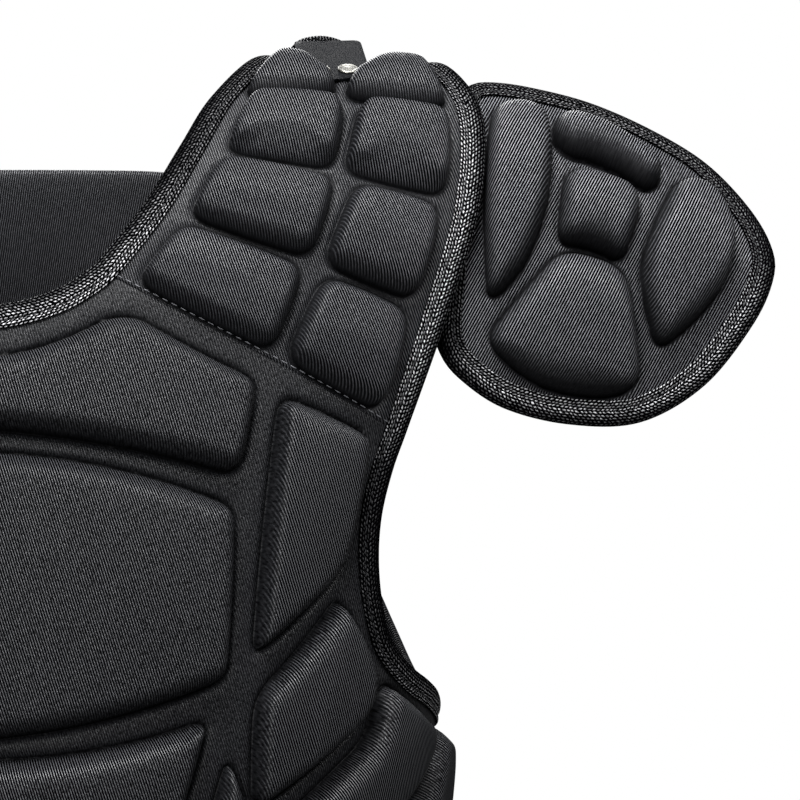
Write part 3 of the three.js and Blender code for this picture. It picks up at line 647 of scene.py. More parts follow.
@dataclass
class Pad:
    """A raised foam pad of a moulding."""

    loop: Loop
    form: PadForm
    step: float = 2.0
    rounds: int = 400
    crease_reach: float = 5
    swell: tuple[Array, Array, Array] = field(init=False)

    def __post_init__(self) -> None:
        """Works out the pad's swell on a grid, as a skin blown up from its outline."""
        margin = 2 * self.step
        low, high = self.loop.spots.min(axis=0) - margin, self.loop.spots.max(axis=0) + margin
        xs, zs = (np.arange(a, b + self.step, self.step) for a, b in zip(low, high))
        at = np.stack(np.meshgrid(xs, zs), axis=2).reshape(-1, 2)
        inside = self.loop.holds(at).reshape(len(zs), len(xs))
        depth = self.loop.distance(at)[0].reshape(inside.shape) * inside / self.step
        skin = depth * (2 * depth.max() - depth) / 2
        for _ in range(self.rounds):
            around = sum(np.roll(skin, turn, axis) for axis in (0, 1) for turn in (1, -1))
            skin = np.where(inside, (around + 1) / 4, 0)
        self.swell = xs, zs, (skin / skin.max()) ** 0.7

    def near(self, at: Array, reach: float = 0) -> Array:
        """Places in a list of the spots that lie within reach of the pad's box."""
        low, high = self.loop.spots.min(axis=0) - reach, self.loop.spots.max(axis=0) + reach
        return np.flatnonzero(((at > low) & (at < high)).all(axis=1))

    def rise(self, at: Array) -> Array:
        """Heights of the pad over the sheet.

        Args:
            at: Pattern spots, one a row.

        Returns:
            The heights, zero outside the pad.
        """
        heights = np.zeros(len(at))
        near = self.near(at)
        near = near[self.loop.holds(at[near])]
        if not len(near):
            return heights
        xs, zs, skin = self.swell
        fx, fz = (at[near, 0] - xs[0]) / self.step, (at[near, 1] - zs[0]) / self.step
        i, k = fx.astype(int), fz.astype(int)
        fx, fz = fx - i, fz - k
        crown = (skin[k, i] * (1 - fx) + skin[k, i + 1] * fx) * (1 - fz)
        crown += (skin[k + 1, i] * (1 - fx) + skin[k + 1, i + 1] * fx) * fz
        depth, lean = self.climb(at[near])
        bend = 3 - lean**2 - self.form.bevel * np.maximum(lean, 0) ** 2
        body = (1 - self.form.crown) * (1 - (1 - depth) ** bend) + self.form.crown * crown
        heights[near] = self.form.height * body * self.pitch(self.below(at[near]))
        return heights

    def climb(self, at: Array) -> tuple[Array, Array]:
        """Finds how far spots lie up the nearest wall.

        Args:
            at: Pattern spots, one a row.

        Returns:
            Shares of the wall's width, one on top, and how far the wall faces up, or down if negative.
        """
        form, blur = self.form, 1.5
        lean = np.empty(len(at))
        upward = self.loop.outward()[:, 1]
        for low in range(0, len(at), 2000):
            gaps = np.linalg.norm(at[low : low + 2000, None] - self.loop.spots[None], axis=2)
            weights = np.exp((gaps.min(axis=1, keepdims=True) - gaps) / blur)
            lean[low : low + 2000] = weights @ upward / weights.sum(axis=1)
        wall = form.wall + (form.top_wall - form.wall) * np.maximum(lean, 0) ** 2
        wall += (form.foot_wall - form.wall) * np.maximum(-lean, 0) ** 2
        return np.clip(self.loop.distance(at)[0] / wall, 0, 1), lean

    def drawn_and_shade(self, at: Array, hollow: Array) -> Array:
        """Says how the pad draws the cloth, and where shade and highlight are painted on it.

        Args:
            at: Pattern spots, one a row.
            hollow: The value without the pad, which holds the painted shade of the sheet between the pads.

        Returns:
            Zero on top to one at the foot of side and lower walls, more in the crease round the pad, and less
            than zero where the ribs lie open and show plainly. Lower walls and the crease get painted shade,
            and walls that face up get a painted highlight.
        """
        form, parted_up_to, crease_width = self.form, 0.9, 0.9
        drawn_and_shade = np.array(hollow, float)
        inside = np.flatnonzero(self.loop.holds(at))
        depth, lean = self.climb(at[inside])
        rim = np.maximum(lean, 0) ** 3
        wall = np.clip(1 - depth / parted_up_to, 0, 1) ** form.wall_fade
        # Painted shade on walls that face down and, as the form asks, on walls that face up; painted
        # highlight where the form opens the ribs on walls that face up
        drawn_and_shade[inside] = wall * (1 - (1 - form.top_shade) * rim)
        drawn_and_shade[inside] *= 1 + (form.shade - 1) * np.maximum(-lean, 0)
        drawn_and_shade[inside] -= form.rim_highlight * wall * rim + form.top_ribs * (1 - wall)
        # Painted shade: the crease round the pad is painted dark, darkest where its wall faces up or down
        near = self.near(at, self.crease_reach)
        crease = np.exp(-((self.loop.distance(at[near])[0] / crease_width) ** 2))
        crease *= 0.25 + 0.6 * np.abs(self.climb(at[near])[1])
        drawn_and_shade[near] += (2 - drawn_and_shade[near]) * crease
        return drawn_and_shade

    def groove(self, at: Array) -> Array:
        """Depths of the crease that the mould presses round the pad's foot."""
        depths, width = np.zeros(len(at)), 1.2
        near = self.near(at, self.crease_reach)
        if len(near):
            depths[near] = self.form.crease * np.exp(-((self.loop.distance(at[near])[0] / width) ** 2))
        return depths

    def below(self, at: Array) -> Array:
        """Distances of spots down from a smooth line through the pad's top edge."""
        spots = self.loop.spots
        top = spots[self.loop.outward()[:, 1] > 0.75]
        middle, span = spots[:, 0].mean(), np.ptp(spots[:, 0]) / 2
        line = np.polyfit((top[:, 0] - middle) / span, top[:, 1], 4 if span > 40 else 2)
        return np.polyval(line, (at[:, 0] - middle) / span) - at[:, 1]

    def pitch(self, below: Array) -> Array:
        """Share of the height that is left by the slopes above and below the pad's ridge."""
        roof = self.form.roof
        rest = 1 - below / roof
        slope = (rest + np.sqrt(rest**2 + 0.02)) / 2
        lower = np.clip((below - roof) / max(np.ptp(self.loop.spots[:, 1]) - roof, 1), 0, 1)
        return 1 - self.form.top_drop * np.minimum(slope, 1) - self.form.foot_drop * lower**1.8


@dataclass
class MouldedPanel:
    """A foam sheet with raised pads under one skin of cloth."""

    face: Face
    border: Loop
    pads: list[Pad] = field(default_factory=list)
    drop: Array | float = FREE_DROP
    sheet: float = 5
    base_step: float = 5
    pad_step: float = 3.2
    under_step: float = 9
    # How far the ribs of the sheet between the pads are dimmed, as painted shade in the hollows
    hollow: float = 0.45
    # Distances of rings of spots from the border, from the pads' outlines and from the border underneath
    rim_insets: tuple[float, ...] = (0.25, 0.8, 1.7, 3.2)
    pad_insets: tuple[float, ...] = (0.35, 0.9, 1.7, 2.8, 4.2, 6, 8.2)
    outside_insets: tuple[float, ...] = (-0.5, -1.4, -3)
    under_insets: tuple[float, ...] = (0.5, 1.7, 3.4)

    def shell(self) -> Shell:
        """Builds the panel's skin.

        Returns:
            A closed skin whose two faces meet in a rounded edge.
        """
        rims = [self.border.ring(inset) for inset in self.rim_insets]
        base = self.border.grid(self.base_step, 4.5)
        inner = []
        for pad in self.pads:
            inner += [pad.loop.ring(inset) for inset in self.pad_insets]
            inner.append(pad.loop.grid(self.pad_step, 9.5))
        outside = [pad.loop.ring(inset) for pad in self.pads for inset in self.outside_insets]
        open_spots = np.concatenate([base, *rims, *outside])
        open_spots = open_spots[self.border.holds(open_spots)]
        for pad in self.pads:
            clear = pad.loop.distance(open_spots)[0] > 0.45
            open_spots = open_spots[clear & ~pad.loop.holds(open_spots)]
        creases = [pad.loop.spots for pad in self.pads]
        top = fill(self.border.spots, creases, np.concatenate([open_spots, *inner]))
        under_rings = [self.border.ring(inset) for inset in self.under_insets]
        under_spots = np.concatenate([self.border.grid(self.under_step, 6), *under_rings])
        under = fill(self.border.spots, [], under_spots[self.border.holds(under_spots)])
        count = len(self.border.spots)
        spots, faces, drawn_and_shade = [self.border.spots], [], [np.full(count, self.hollow)]
        heights = [-np.broadcast_to(self.drop, count).astype(float)]
        for (found, triangles, home), is_top in ((top, True), (under, False)):
            free = home < 0
            ids = home.copy()
            ids[free] = sum(len(part) for part in spots) + np.arange(free.sum())
            spots.append(found[free])
            heights.append(self.height(found[free], is_top))
            drawn_and_shade.append(np.full(int(free.sum()), self.hollow))
            for pad in self.pads if is_top else ():
                drawn_and_shade[-1] = pad.drawn_and_shade(found[free], drawn_and_shade[-1])
            faces += [tuple(face) for face in ids[triangles if is_top else triangles[:, ::-1]].tolist()]
        every = np.concatenate(spots)
        places, normals = self.face.stand(every)
        places = places + normals * np.concatenate(heights)[:, None]
        return Shell(places, faces, self.face.cloth(every), np.concatenate(drawn_and_shade))

    def height(self, at: Array, is_top: bool) -> Array:
        """Heights of the outer or the inner side over the outer face, at pattern spots."""
        far, near = self.border.distance(at)
        drop = np.broadcast_to(self.drop, len(self.border.spots))[near]
        bend = 1 - np.clip(far / (drop + 0.6), 0, 1)
        sink = 1 - np.sqrt(1 - bend**2)
        if not is_top:
            return -self.sheet + (self.sheet - drop) * sink
        height = -drop * sink
        for pad in self.pads:
            height += pad.rise(at) - pad.groove(at)
        return height


def loft(rows: Array, along: Array, around: Array) -> Shell:
    """Skins rows of matching closed sections.

    Args:
        rows: Places, by row and by place in the section.
        along: Length of cloth up to each row.
        around: Length of cloth round the section up to each of its places.

    Returns:
        A closed skin with flat ends.
    """
    count, size = rows.shape[:2]
    ids = np.arange(count * size).reshape(count, size)
    turned = np.roll(ids, -1, axis=1)
    quads = np.stack([ids[:-1], ids[1:], turned[1:], turned[:-1]], axis=2).reshape(-1, 4)
    faces = [tuple(quad) for quad in quads.tolist()] + [tuple(ids[0].tolist()), tuple(ids[-1][::-1].tolist())]
    cloth = np.stack(np.broadcast_arrays(along[:, None], around[None, :]), axis=2).reshape(-1, 2)
    shell = Shell(rows.reshape(-1, 3), faces, cloth)
    a, b, c = (shell.places[quads[:, k]] for k in (0, 1, 2))
    if np.einsum("ij,ij->i", a, np.cross(b, c)).sum() < 0:
        shell.faces = [face[::-1] for face in shell.faces]
    return shell


def walked(line: Array) -> Array:
    """Distances along a line up to each of its places."""
    return np.concatenate([[0], np.cumsum(np.linalg.norm(np.diff(line, axis=0), axis=1))])


def slim_ribbon(
    centres: Array, sides: Array, halves: Array, thick: float, soft: float = 0.5, bows: Array | float = 0.0
) -> Shell:
    """Skins a flat ribbon with rounded edges.

    Args:
        centres: Places along the middle of its lower face.
        sides: Directions across it at each place.
        halves: Half widths at each place.
        thick: Thickness.
        soft: Size of the rounding.
        bows: How far its middle stands up over its edges at each place.

    Returns:
        The ribbon's closed skin.
    """
    run = unit(np.gradient(centres, axis=0))
    sides = unit(sides - run * (sides * run).sum(axis=1, keepdims=True))
    ups = np.cross(sides, run)
    arc = [(math.sin(a), math.cos(a)) for a in np.linspace(0, math.pi, 7)]
    right = [(1, -soft + soft * s, thick / 2 + (thick / 2) * c) for s, c in arc]
    flat = [(share, 0, thick) for share in np.linspace(-0.8, 0.8, 9)]
    left = [(-1, soft - soft * s, thick / 2 - (thick / 2) * c) for s, c in arc]
    floor = [(share, 0, 0) for share in np.linspace(0.8, -0.8, 9)]
    section = np.array([*flat, *right, *floor, *left])
    reach = section[None, :, 0] * halves[:, None] + section[None, :, 1]
    lift = section[None, :, 2] + np.broadcast_to(bows, len(centres))[:, None] * (1 - section[None, :, 0] ** 2)
    rows = centres[:, None] + sides[:, None] * reach[..., None] + ups[:, None] * lift[..., None]
    return loft(rows, walked(centres), reach[len(reach) // 2])


# Finishes


def blank(name: str) -> tuple[Material, Tree, bpy.types.Node]:
    """Starts a material.

    Args:
        name: The material's name.

    Returns:
        The material, its nodes and its shader.
    """
    made = bpy.data.materials.new(name)
    made.use_nodes = True
    return made, made.node_tree, made.node_tree.nodes["Principled BSDF"]


@dataclass(frozen=True)
class Twill:
    """Black polyester twill over foam: steep light ribs on a dark ground, with a little sheen."""

    name: str
    lean: float
    wale_mm: float = 1.05
    thread: str = "4b4c50"
    ground: str = "040405"
    gap: float = 0.4
    parted_shade: float = 0.17
    fade: float = 0.9
    dash_mm: float = 2.0
    dullest: float = 0.45
    cloud_mm: float = 60

    def material(self) -> Material:
        """Builds the material; lean is the ribs' direction on the cloth, in degrees."""
        made, tree, shader = blank(self.name)
        lie = add_node(tree, "ShaderNodeUVMap", uv_map=CLOTH_MAP)["UV"]
        turn = (0, 0, -math.radians(self.lean))
        turned = add_node(tree, "ShaderNodeMapping", {"Vector": lie, "Rotation": turn})["Vector"]
        # Ribs of the twill, one to each wale
        wale = {"Vector": turned, "Scale": math.pi / 10 / self.wale_mm, "Distortion": 0.35}
        wale |= {"Detail": 1.0, "Detail Scale": 0.4}
        rib = add_node(tree, "ShaderNodeTexWave", wale, bands_direction="Y")["Fac"]
        spread = (rib, self.gap, 0.97)
        rib = add_node(tree, "ShaderNodeMapRange", spread, interpolation_type="SMOOTHSTEP")["Result"]
        # Ribs that part and fade where a wall draws the cloth out, and painted shade: darker ribs between the
        # pads and at the foot of walls that face down, and black ones in the crease round each pad
        drawn_and_shade = add_node(tree, "ShaderNodeAttribute", attribute_name=DRAWN_AND_SHADE)["Fac"]
        dim = add_node(tree, "ShaderNodeMapRange", (drawn_and_shade, 1.0, 1.9, self.parted_shade, 0.0))["Result"]
        part = add_node(tree, "ShaderNodeMath", (drawn_and_shade, self.fade), operation="MULTIPLY")[0]
        rib = add_node(tree, "ShaderNodeMix", {"Factor": part, 2: rib, 3: dim}, data_type="FLOAT")[0]
        # Single threads that catch the light along a rib, each about 0.6 mm wide and a dash long
        dash = {"Vector": turned, "Scale": (1 / self.dash_mm, 1.7, 1)}
        stretched = add_node(tree, "ShaderNodeMapping", dash)["Vector"]
        fleck = {"Vector": stretched, "Scale": 1.0, "Detail": 2.0}
        fleck = add_node(tree, "ShaderNodeTexNoise", fleck)["Fac"]
        spread = (fleck, 0.3, 0.7, self.dullest, 1.55 - self.dullest)
        flecked = add_node(tree, "ShaderNodeMapRange", spread)["Result"]
        # Ribs that lie open show whole and sharp, and the more open they lie the brighter they are painted: a
        # painted highlight on walls that face up
        plain = add_node(tree, "ShaderNodeMath", (drawn_and_shade, -2.0), operation="MULTIPLY", use_clamp=True)[0]
        level = add_node(tree, "ShaderNodeMapRange", (drawn_and_shade, -0.5, -0.9, 0.95, 2.0))["Result"]
        steep = add_node(tree, "ShaderNodeMapRange", (drawn_and_shade, 0.0, -0.5, 1.0, 2.0))["Result"]
        rib = add_node(tree, "ShaderNodeMath", (rib, steep), operation="POWER")[0]
        whole_ribs = {"Factor": plain, 2: flecked, 3: level}
        flecked = add_node(tree, "ShaderNodeMix", whole_ribs, data_type="FLOAT")[0]
        lit = add_node(tree, "ShaderNodeMath", (rib, flecked), operation="MULTIPLY")[0]
        # Slow change of tone over the cloth
        cloud = {"Vector": lie, "Scale": 1 / self.cloud_mm, "Detail": 3.0}
        cloud = add_node(tree, "ShaderNodeTexNoise", cloud)["Fac"]
        tone = add_node(tree, "ShaderNodeMapRange", (cloud, 0.0, 1.0, 0.8, 1.2))["Result"]
        share = add_node(tree, "ShaderNodeMath", (lit, tone), operation="MULTIPLY", use_clamp=True)[0]
        tones = {"Factor": share, 6: linear(self.ground), 7: linear(self.thread)}
        colour = add_node(tree, "ShaderNodeMix", tones, data_type="RGBA")[2]
        relief = {"Height": lit, "Strength": 0.7, "Distance": 0.00025}
        bump = add_node(tree, "ShaderNodeBump", relief)["Normal"]
        # Only the raised threads are glossy; the even gloss is what stays where that can't be kept
        shader.inputs["Specular IOR Level"].default_value = 0.2
        feed(shader, {"Base Color": colour, "Normal": bump, "Specular IOR Level": share, "Roughness": 0.42})
        return made


@dataclass(frozen=True)
class HerringboneTape:
    """Woven polyester binding tape: rows of bright floats on a black ground, which lean to and fro."""

    name: str = "herringbone_tape"
    row_mm: float = 1.3
    float_mm: float = 1.9
    column_mm: float = 5.85
    fleck_mm: float = 2.0
    thread: str = "f0f0f4"
    ground: str = "030304"
    rim_shade_mm: float = 14

    def material(self) -> Material:
        """Builds the material; U runs along the tape and V across it, in millimetres."""
        made, tree, shader = blank(self.name)
        lie = add_node(tree, "ShaderNodeUVMap", uv_map=CLOTH_MAP)["UV"]
        # Rows that wander a little, as in a loosely woven tape
        loose = add_node(tree, "ShaderNodeTexNoise", {"Vector": lie, "Scale": 0.3, "Detail": 2.0})["Color"]
        loose = add_node(tree, "ShaderNodeVectorMath", (loose, (2.4, 1.2, 0)), operation="MULTIPLY")[0]
        lie = add_node(tree, "ShaderNodeVectorMath", (lie, loose), operation="ADD")[0]
        parts = add_node(tree, "ShaderNodeSeparateXYZ", (lie,))
        along, across = parts["X"], parts["Y"]
        row = add_node(tree, "ShaderNodeMath", (across, math.tau / self.row_mm), operation="MULTIPLY")[0]
        row = add_node(tree, "ShaderNodeMath", (row,), operation="SINE")[0]
        row = add_node(tree, "ShaderNodeMapRange", (row, -0.25, 0.85))["Result"]
        # Each float starts a little further on than the one beside it, and turns back after a column
        zigzag = add_node(tree, "ShaderNodeMath", (across, self.column_mm), operation="PINGPONG")[0]
        slant = add_node(tree, "ShaderNodeMath", (along, zigzag), operation="ADD")[0]
        turns = add_node(tree, "ShaderNodeMath", (slant, math.tau / self.float_mm), operation="MULTIPLY")[0]
        wave = add_node(tree, "ShaderNodeMath", (turns,), operation="SINE")[0]
        wave = add_node(tree, "ShaderNodeMapRange", (wave, -0.45, 0.75))["Result"]
        body = add_node(tree, "ShaderNodeMath", (row, wave), operation="MULTIPLY")[0]
        # Some floats catch the light and some lie in the shade of others
        fleck = {"Vector": lie, "Scale": 1 / self.fleck_mm, "Detail": 2.0}
        fleck = add_node(tree, "ShaderNodeTexNoise", fleck)["Fac"]
        flecked = add_node(tree, "ShaderNodeMapRange", (fleck, 0.36, 0.66, 0.2, 1.2))["Result"]
        lit = add_node(tree, "ShaderNodeMath", (body, flecked), operation="MULTIPLY", use_clamp=True)[0]
        # Painted shade round the fold at the tape's outer rim: the floats are dimmed there and the dark
        # ground shows
        off = add_node(tree, "ShaderNodeMath", (across, self.rim_shade_mm), operation="SUBTRACT")[0]
        off = add_node(tree, "ShaderNodeMath", (off,), operation="ABSOLUTE")[0]
        closed = add_node(tree, "ShaderNodeMapRange", (off, 4.0, 7.4, 0.12, 1.0))["Result"]
        lit = add_node(tree, "ShaderNodeMath", (lit, closed), operation="MULTIPLY")[0]
        # Painted shade along some stretches of the tape and painted highlight along others, from each
        # section's value
        drawn_and_shade = add_node(tree, "ShaderNodeAttribute", attribute_name=DRAWN_AND_SHADE)["Fac"]
        left = add_node(tree, "ShaderNodeMath", (1.0, drawn_and_shade), operation="SUBTRACT")[0]
        lit = add_node(tree, "ShaderNodeMath", (lit, left), operation="MULTIPLY", use_clamp=True)[0]
        tones = {"Factor": lit, 6: linear(self.ground), 7: linear(self.thread)}
        colour = add_node(tree, "ShaderNodeMix", tones, data_type="RGBA")[2]
        relief = {"Height": body, "Strength": 0.7, "Distance": 0.0004}
        bump = add_node(tree, "ShaderNodeBump", relief)["Normal"]
        shader.inputs["Specular IOR Level"].default_value = 0.2
        feed(shader, {"Base Color": colour, "Normal": bump, "Specular IOR Level": lit, "Roughness": 0.5})
        return made


@dataclass(frozen=True)
class Leatherette:
    """Smooth black leatherette: a fine pebbled grain under a half-matt coat."""

    name: str = "leatherette"
    grain_mm: float = 0.7
    cloud_mm: float = 7.14
    dark: str = "0a0b0d"
    light: str = "101115"

    def material(self) -> Material:
        """Builds the material."""
        made, tree, shader = blank(self.name)
        place = add_node(tree, "ShaderNodeTexCoord")["Object"]
        grain = {"Vector": place, "Scale": 1000 / self.grain_mm}
        grain = add_node(tree, "ShaderNodeTexVoronoi", grain)["Distance"]
        cloud = {"Vector": place, "Scale": 1000 / self.cloud_mm, "Detail": 3.0}
        cloud = add_node(tree, "ShaderNodeTexNoise", cloud)["Fac"]
        tones = {"Factor": cloud, 6: linear(self.dark), 7: linear(self.light)}
        colour = add_node(tree, "ShaderNodeMix", tones, data_type="RGBA")[2]
        rough = add_node(tree, "ShaderNodeMapRange", (cloud, 0.0, 1.0, 0.5, 0.62))["Result"]
        relief = {"Height": grain, "Strength": 0.25, "Distance": 0.00015}
        bump = add_node(tree, "ShaderNodeBump", relief)["Normal"]
        feed(shader, {"Base Color": colour, "Roughness": rough, "Normal": bump, "Specular IOR Level": 0.07})
        return made


@dataclass(frozen=True)
class NickelPlate:
    """Polished nickel plate: bright, a little warm, with faint rubbing marks."""

    name: str = "nickel_plate"
    colour: str = "96958f"
    rub_mm: float = 1.111

    def material(self) -> Material:
        """Builds the material."""
        made, tree, shader = blank(self.name)
        place = add_node(tree, "ShaderNodeTexCoord")["Object"]
        rub = {"Vector": place, "Scale": 1000 / self.rub_mm, "Detail": 3.0}
        rub = add_node(tree, "ShaderNodeTexNoise", rub)["Fac"]
        rough = add_node(tree, "ShaderNodeMapRange", (rub, 0.0, 1.0, 0.3, 0.42))["Result"]
        feed(shader, {"Base Color": linear(self.colour), "Roughness": rough, "Metallic": 1.0})
        return made


@dataclass(frozen=True)
class SewingThread:
    """Spun polyester sewing thread: a soft gloss, and a twist that shows as fine slanting lines."""

    name: str
    colour: str
    twist_mm: float = 0.5
    hollow: float = 0.6

    def material(self) -> Material:
        """Builds the material."""
        made, tree, shader = blank(self.name)
        place = add_node(tree, "ShaderNodeTexCoord")["Object"]
        lines = {"Vector": place, "Scale": math.pi / 10 / self.twist_mm * 1000}
        twist = add_node(tree, "ShaderNodeTexWave", lines, bands_direction="DIAGONAL")["Fac"]
        light = linear(self.colour)
        dark = tuple(self.hollow * part for part in light[:3]) + (1.0,)
        colour = add_node(tree, "ShaderNodeMix", {"Factor": twist, 6: light, 7: dark}, data_type="RGBA")[2]
        feed(shader, {"Base Color": colour, "Roughness": 0.5})
        return made


# Stitches and rivets


@dataclass
class RepeatRow:
    """Geometry Nodes that set one small shape again and again along lines."""

    tree: Tree = field(init=False)

    def __post_init__(self) -> None:
        """Builds the tree with its named sizes."""
        self.tree = tree = bpy.data.node_groups.new("stitch_row", "GeometryNodeTree")
        face = tree.interface
        face.new_socket("Geometry", in_out="INPUT", socket_type="NodeSocketGeometry")
        for name in ("Pitch", "Length", "Width", "Height"):
            face.new_socket(name, in_out="INPUT", socket_type="NodeSocketFloat")
        face.new_socket("Thread", in_out="INPUT", socket_type="NodeSocketMaterial")
        face.new_socket("Geometry", in_out="OUTPUT", socket_type="NodeSocketGeometry")
        given = add_node(tree, "NodeGroupInput")
        line = add_node(tree, "GeometryNodeMeshToCurve", {"Mesh": given["Geometry"]})["Curve"]
        spacing = {"Curve": line, "Length": given["Pitch"]}
        even = add_node(tree, "GeometryNodeResampleCurve", spacing, mode="LENGTH")["Curve"]
        tangent = add_node(tree, "GeometryNodeInputTangent")[0]
        out = add_node(tree, "GeometryNodeInputNamedAttribute", {"Name": "out"}, data_type="FLOAT_VECTOR")[0]
        ahead = add_node(tree, "FunctionNodeAlignRotationToVector", {"Vector": tangent}, axis="X")[0]
        lift = {"Rotation": ahead, "Vector": out}
        upright = add_node(tree, "FunctionNodeAlignRotationToVector", lift, axis="Z", pivot_axis="X")[0]
        ball = {"Segments": 8, "Rings": 5, "Radius": 0.5}
        grain = add_node(tree, "GeometryNodeMeshUVSphere", ball)["Mesh"]
        size = add_node(tree, "ShaderNodeCombineXYZ", (given["Length"], given["Width"], given["Height"]))[0]
        stitch = add_node(tree, "GeometryNodeTransform", {"Geometry": grain, "Scale": size})[0]
        places = {"Points": even, "Instance": stitch, "Rotation": upright}
        row = add_node(tree, "GeometryNodeInstanceOnPoints", places)[0]
        solid = add_node(tree, "GeometryNodeRealizeInstances", {"Geometry": row})[0]
        smooth = add_node(tree, "GeometryNodeSetShadeSmooth", {"Geometry": solid})[0]
        dress = {"Geometry": smooth, "Material": given["Thread"]}
        dressed = add_node(tree, "GeometryNodeSetMaterial", dress)[0]
        add_node(tree, "NodeGroupOutput", {"Geometry": dressed})

    def sew(
        self,
        name: str,
        lines: list[tuple[Array, Array]],
        sizes: dict[str, float],
        thread: Material,
    ) -> bpy.types.Object:
        """Sews rows of stitches.

        Args:
            name: Name of the piece.
            lines: Places and outward directions along each row, in millimetres.
            sizes: Pitch, Length, Width and Height of the stitches, in millimetres.
            thread: Material of the thread.

        Returns:
            The stitches as one plain mesh.
        """
        places = np.concatenate([line[0] for line in lines]) / 1000
        outs = np.concatenate([line[1] for line in lines])
        edges, start = [], 0
        for line in lines:
            edges += [(start + i, start + i + 1) for i in range(len(line[0]) - 1)]
            start += len(line[0])
        guide = bpy.data.meshes.new(name + "_guide")
        guide.from_pydata(places.tolist(), edges, [])
        out = guide.attributes.new("out", "FLOAT_VECTOR", "POINT")
        out.data.foreach_set("vector", outs.astype(np.float32).ravel())
        obj = bpy.data.objects.new(name, guide)
        bpy.context.scene.collection.objects.link(obj)
        row = obj.modifiers.new("row", "NODES")
        row.node_group = self.tree
        for item in self.tree.interface.items_tree:
            if item.in_out == "INPUT" and item.name in sizes:
                row[item.identifier] = sizes[item.name] / 1000
            elif item.in_out == "INPUT" and item.name == "Thread":
                row[item.identifier] = thread
        made = bpy.data.meshes.new_from_object(obj.evaluated_get(bpy.context.evaluated_depsgraph_get()))
        obj.modifiers.remove(row)
        obj.data = made
        made.name = name
        return obj


# The pieces


@dataclass
class Wardrobe:
    """The finishes that the pieces share, made once."""

    chest_twill: Material = field(
        default_factory=Twill("twill_front", 108, 1.0, dash_mm=1.3, dullest=0.1).material
    )
    shoulder_twill: Material = field(
        default_factory=Twill("twill_shoulder", 108, 1.0, thread="5e5f64", gap=0.5, parted_shade=0.13).material
    )
    # The caps' twill is the same cloth as the chest's; its lighter thread is painted light for the light that
    # falls on the caps
    brightened_cap_twill: Material = field(
        default_factory=Twill("twill_cap_brightened", 61, thread="98999f", gap=0.66, parted_shade=0.05).material
    )
    back_twill: Material = field(default_factory=Twill("twill_back", 98, 0.8, "5a5b60", "0c0c0d").material)
    tape: Material = field(default_factory=HerringboneTape().material)
    webbing: Material = field(
        default_factory=HerringboneTape("herringbone_webbing", thread="3c3d41", rim_shade_mm=-100).material
    )
    leatherette: Material = field(default_factory=Leatherette().material)
    nickel: Material = field(default_factory=NickelPlate().material)
    seam_thread: Material = field(default_factory=SewingThread("grey_thread", "85868b").material)
    tape_thread: Material = field(default_factory=SewingThread("black_thread", "232428").material)
    stitches: RepeatRow = field(default_factory=RepeatRow)


def settle(obj: bpy.types.Object, slot: Slot, *nodes: str) -> None:
    """Puts a finished piece on the body, in place of its CAD nodes.

    Args:
        obj: The piece.
        slot: The record's slot for its finish; not used.
        *nodes: CAD nodes that it stands for.
    """
    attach(obj, "root")
    if nodes:
        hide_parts(*nodes)
    LOG.info("%s: %d faces", obj.name, len(obj.data.polygons))


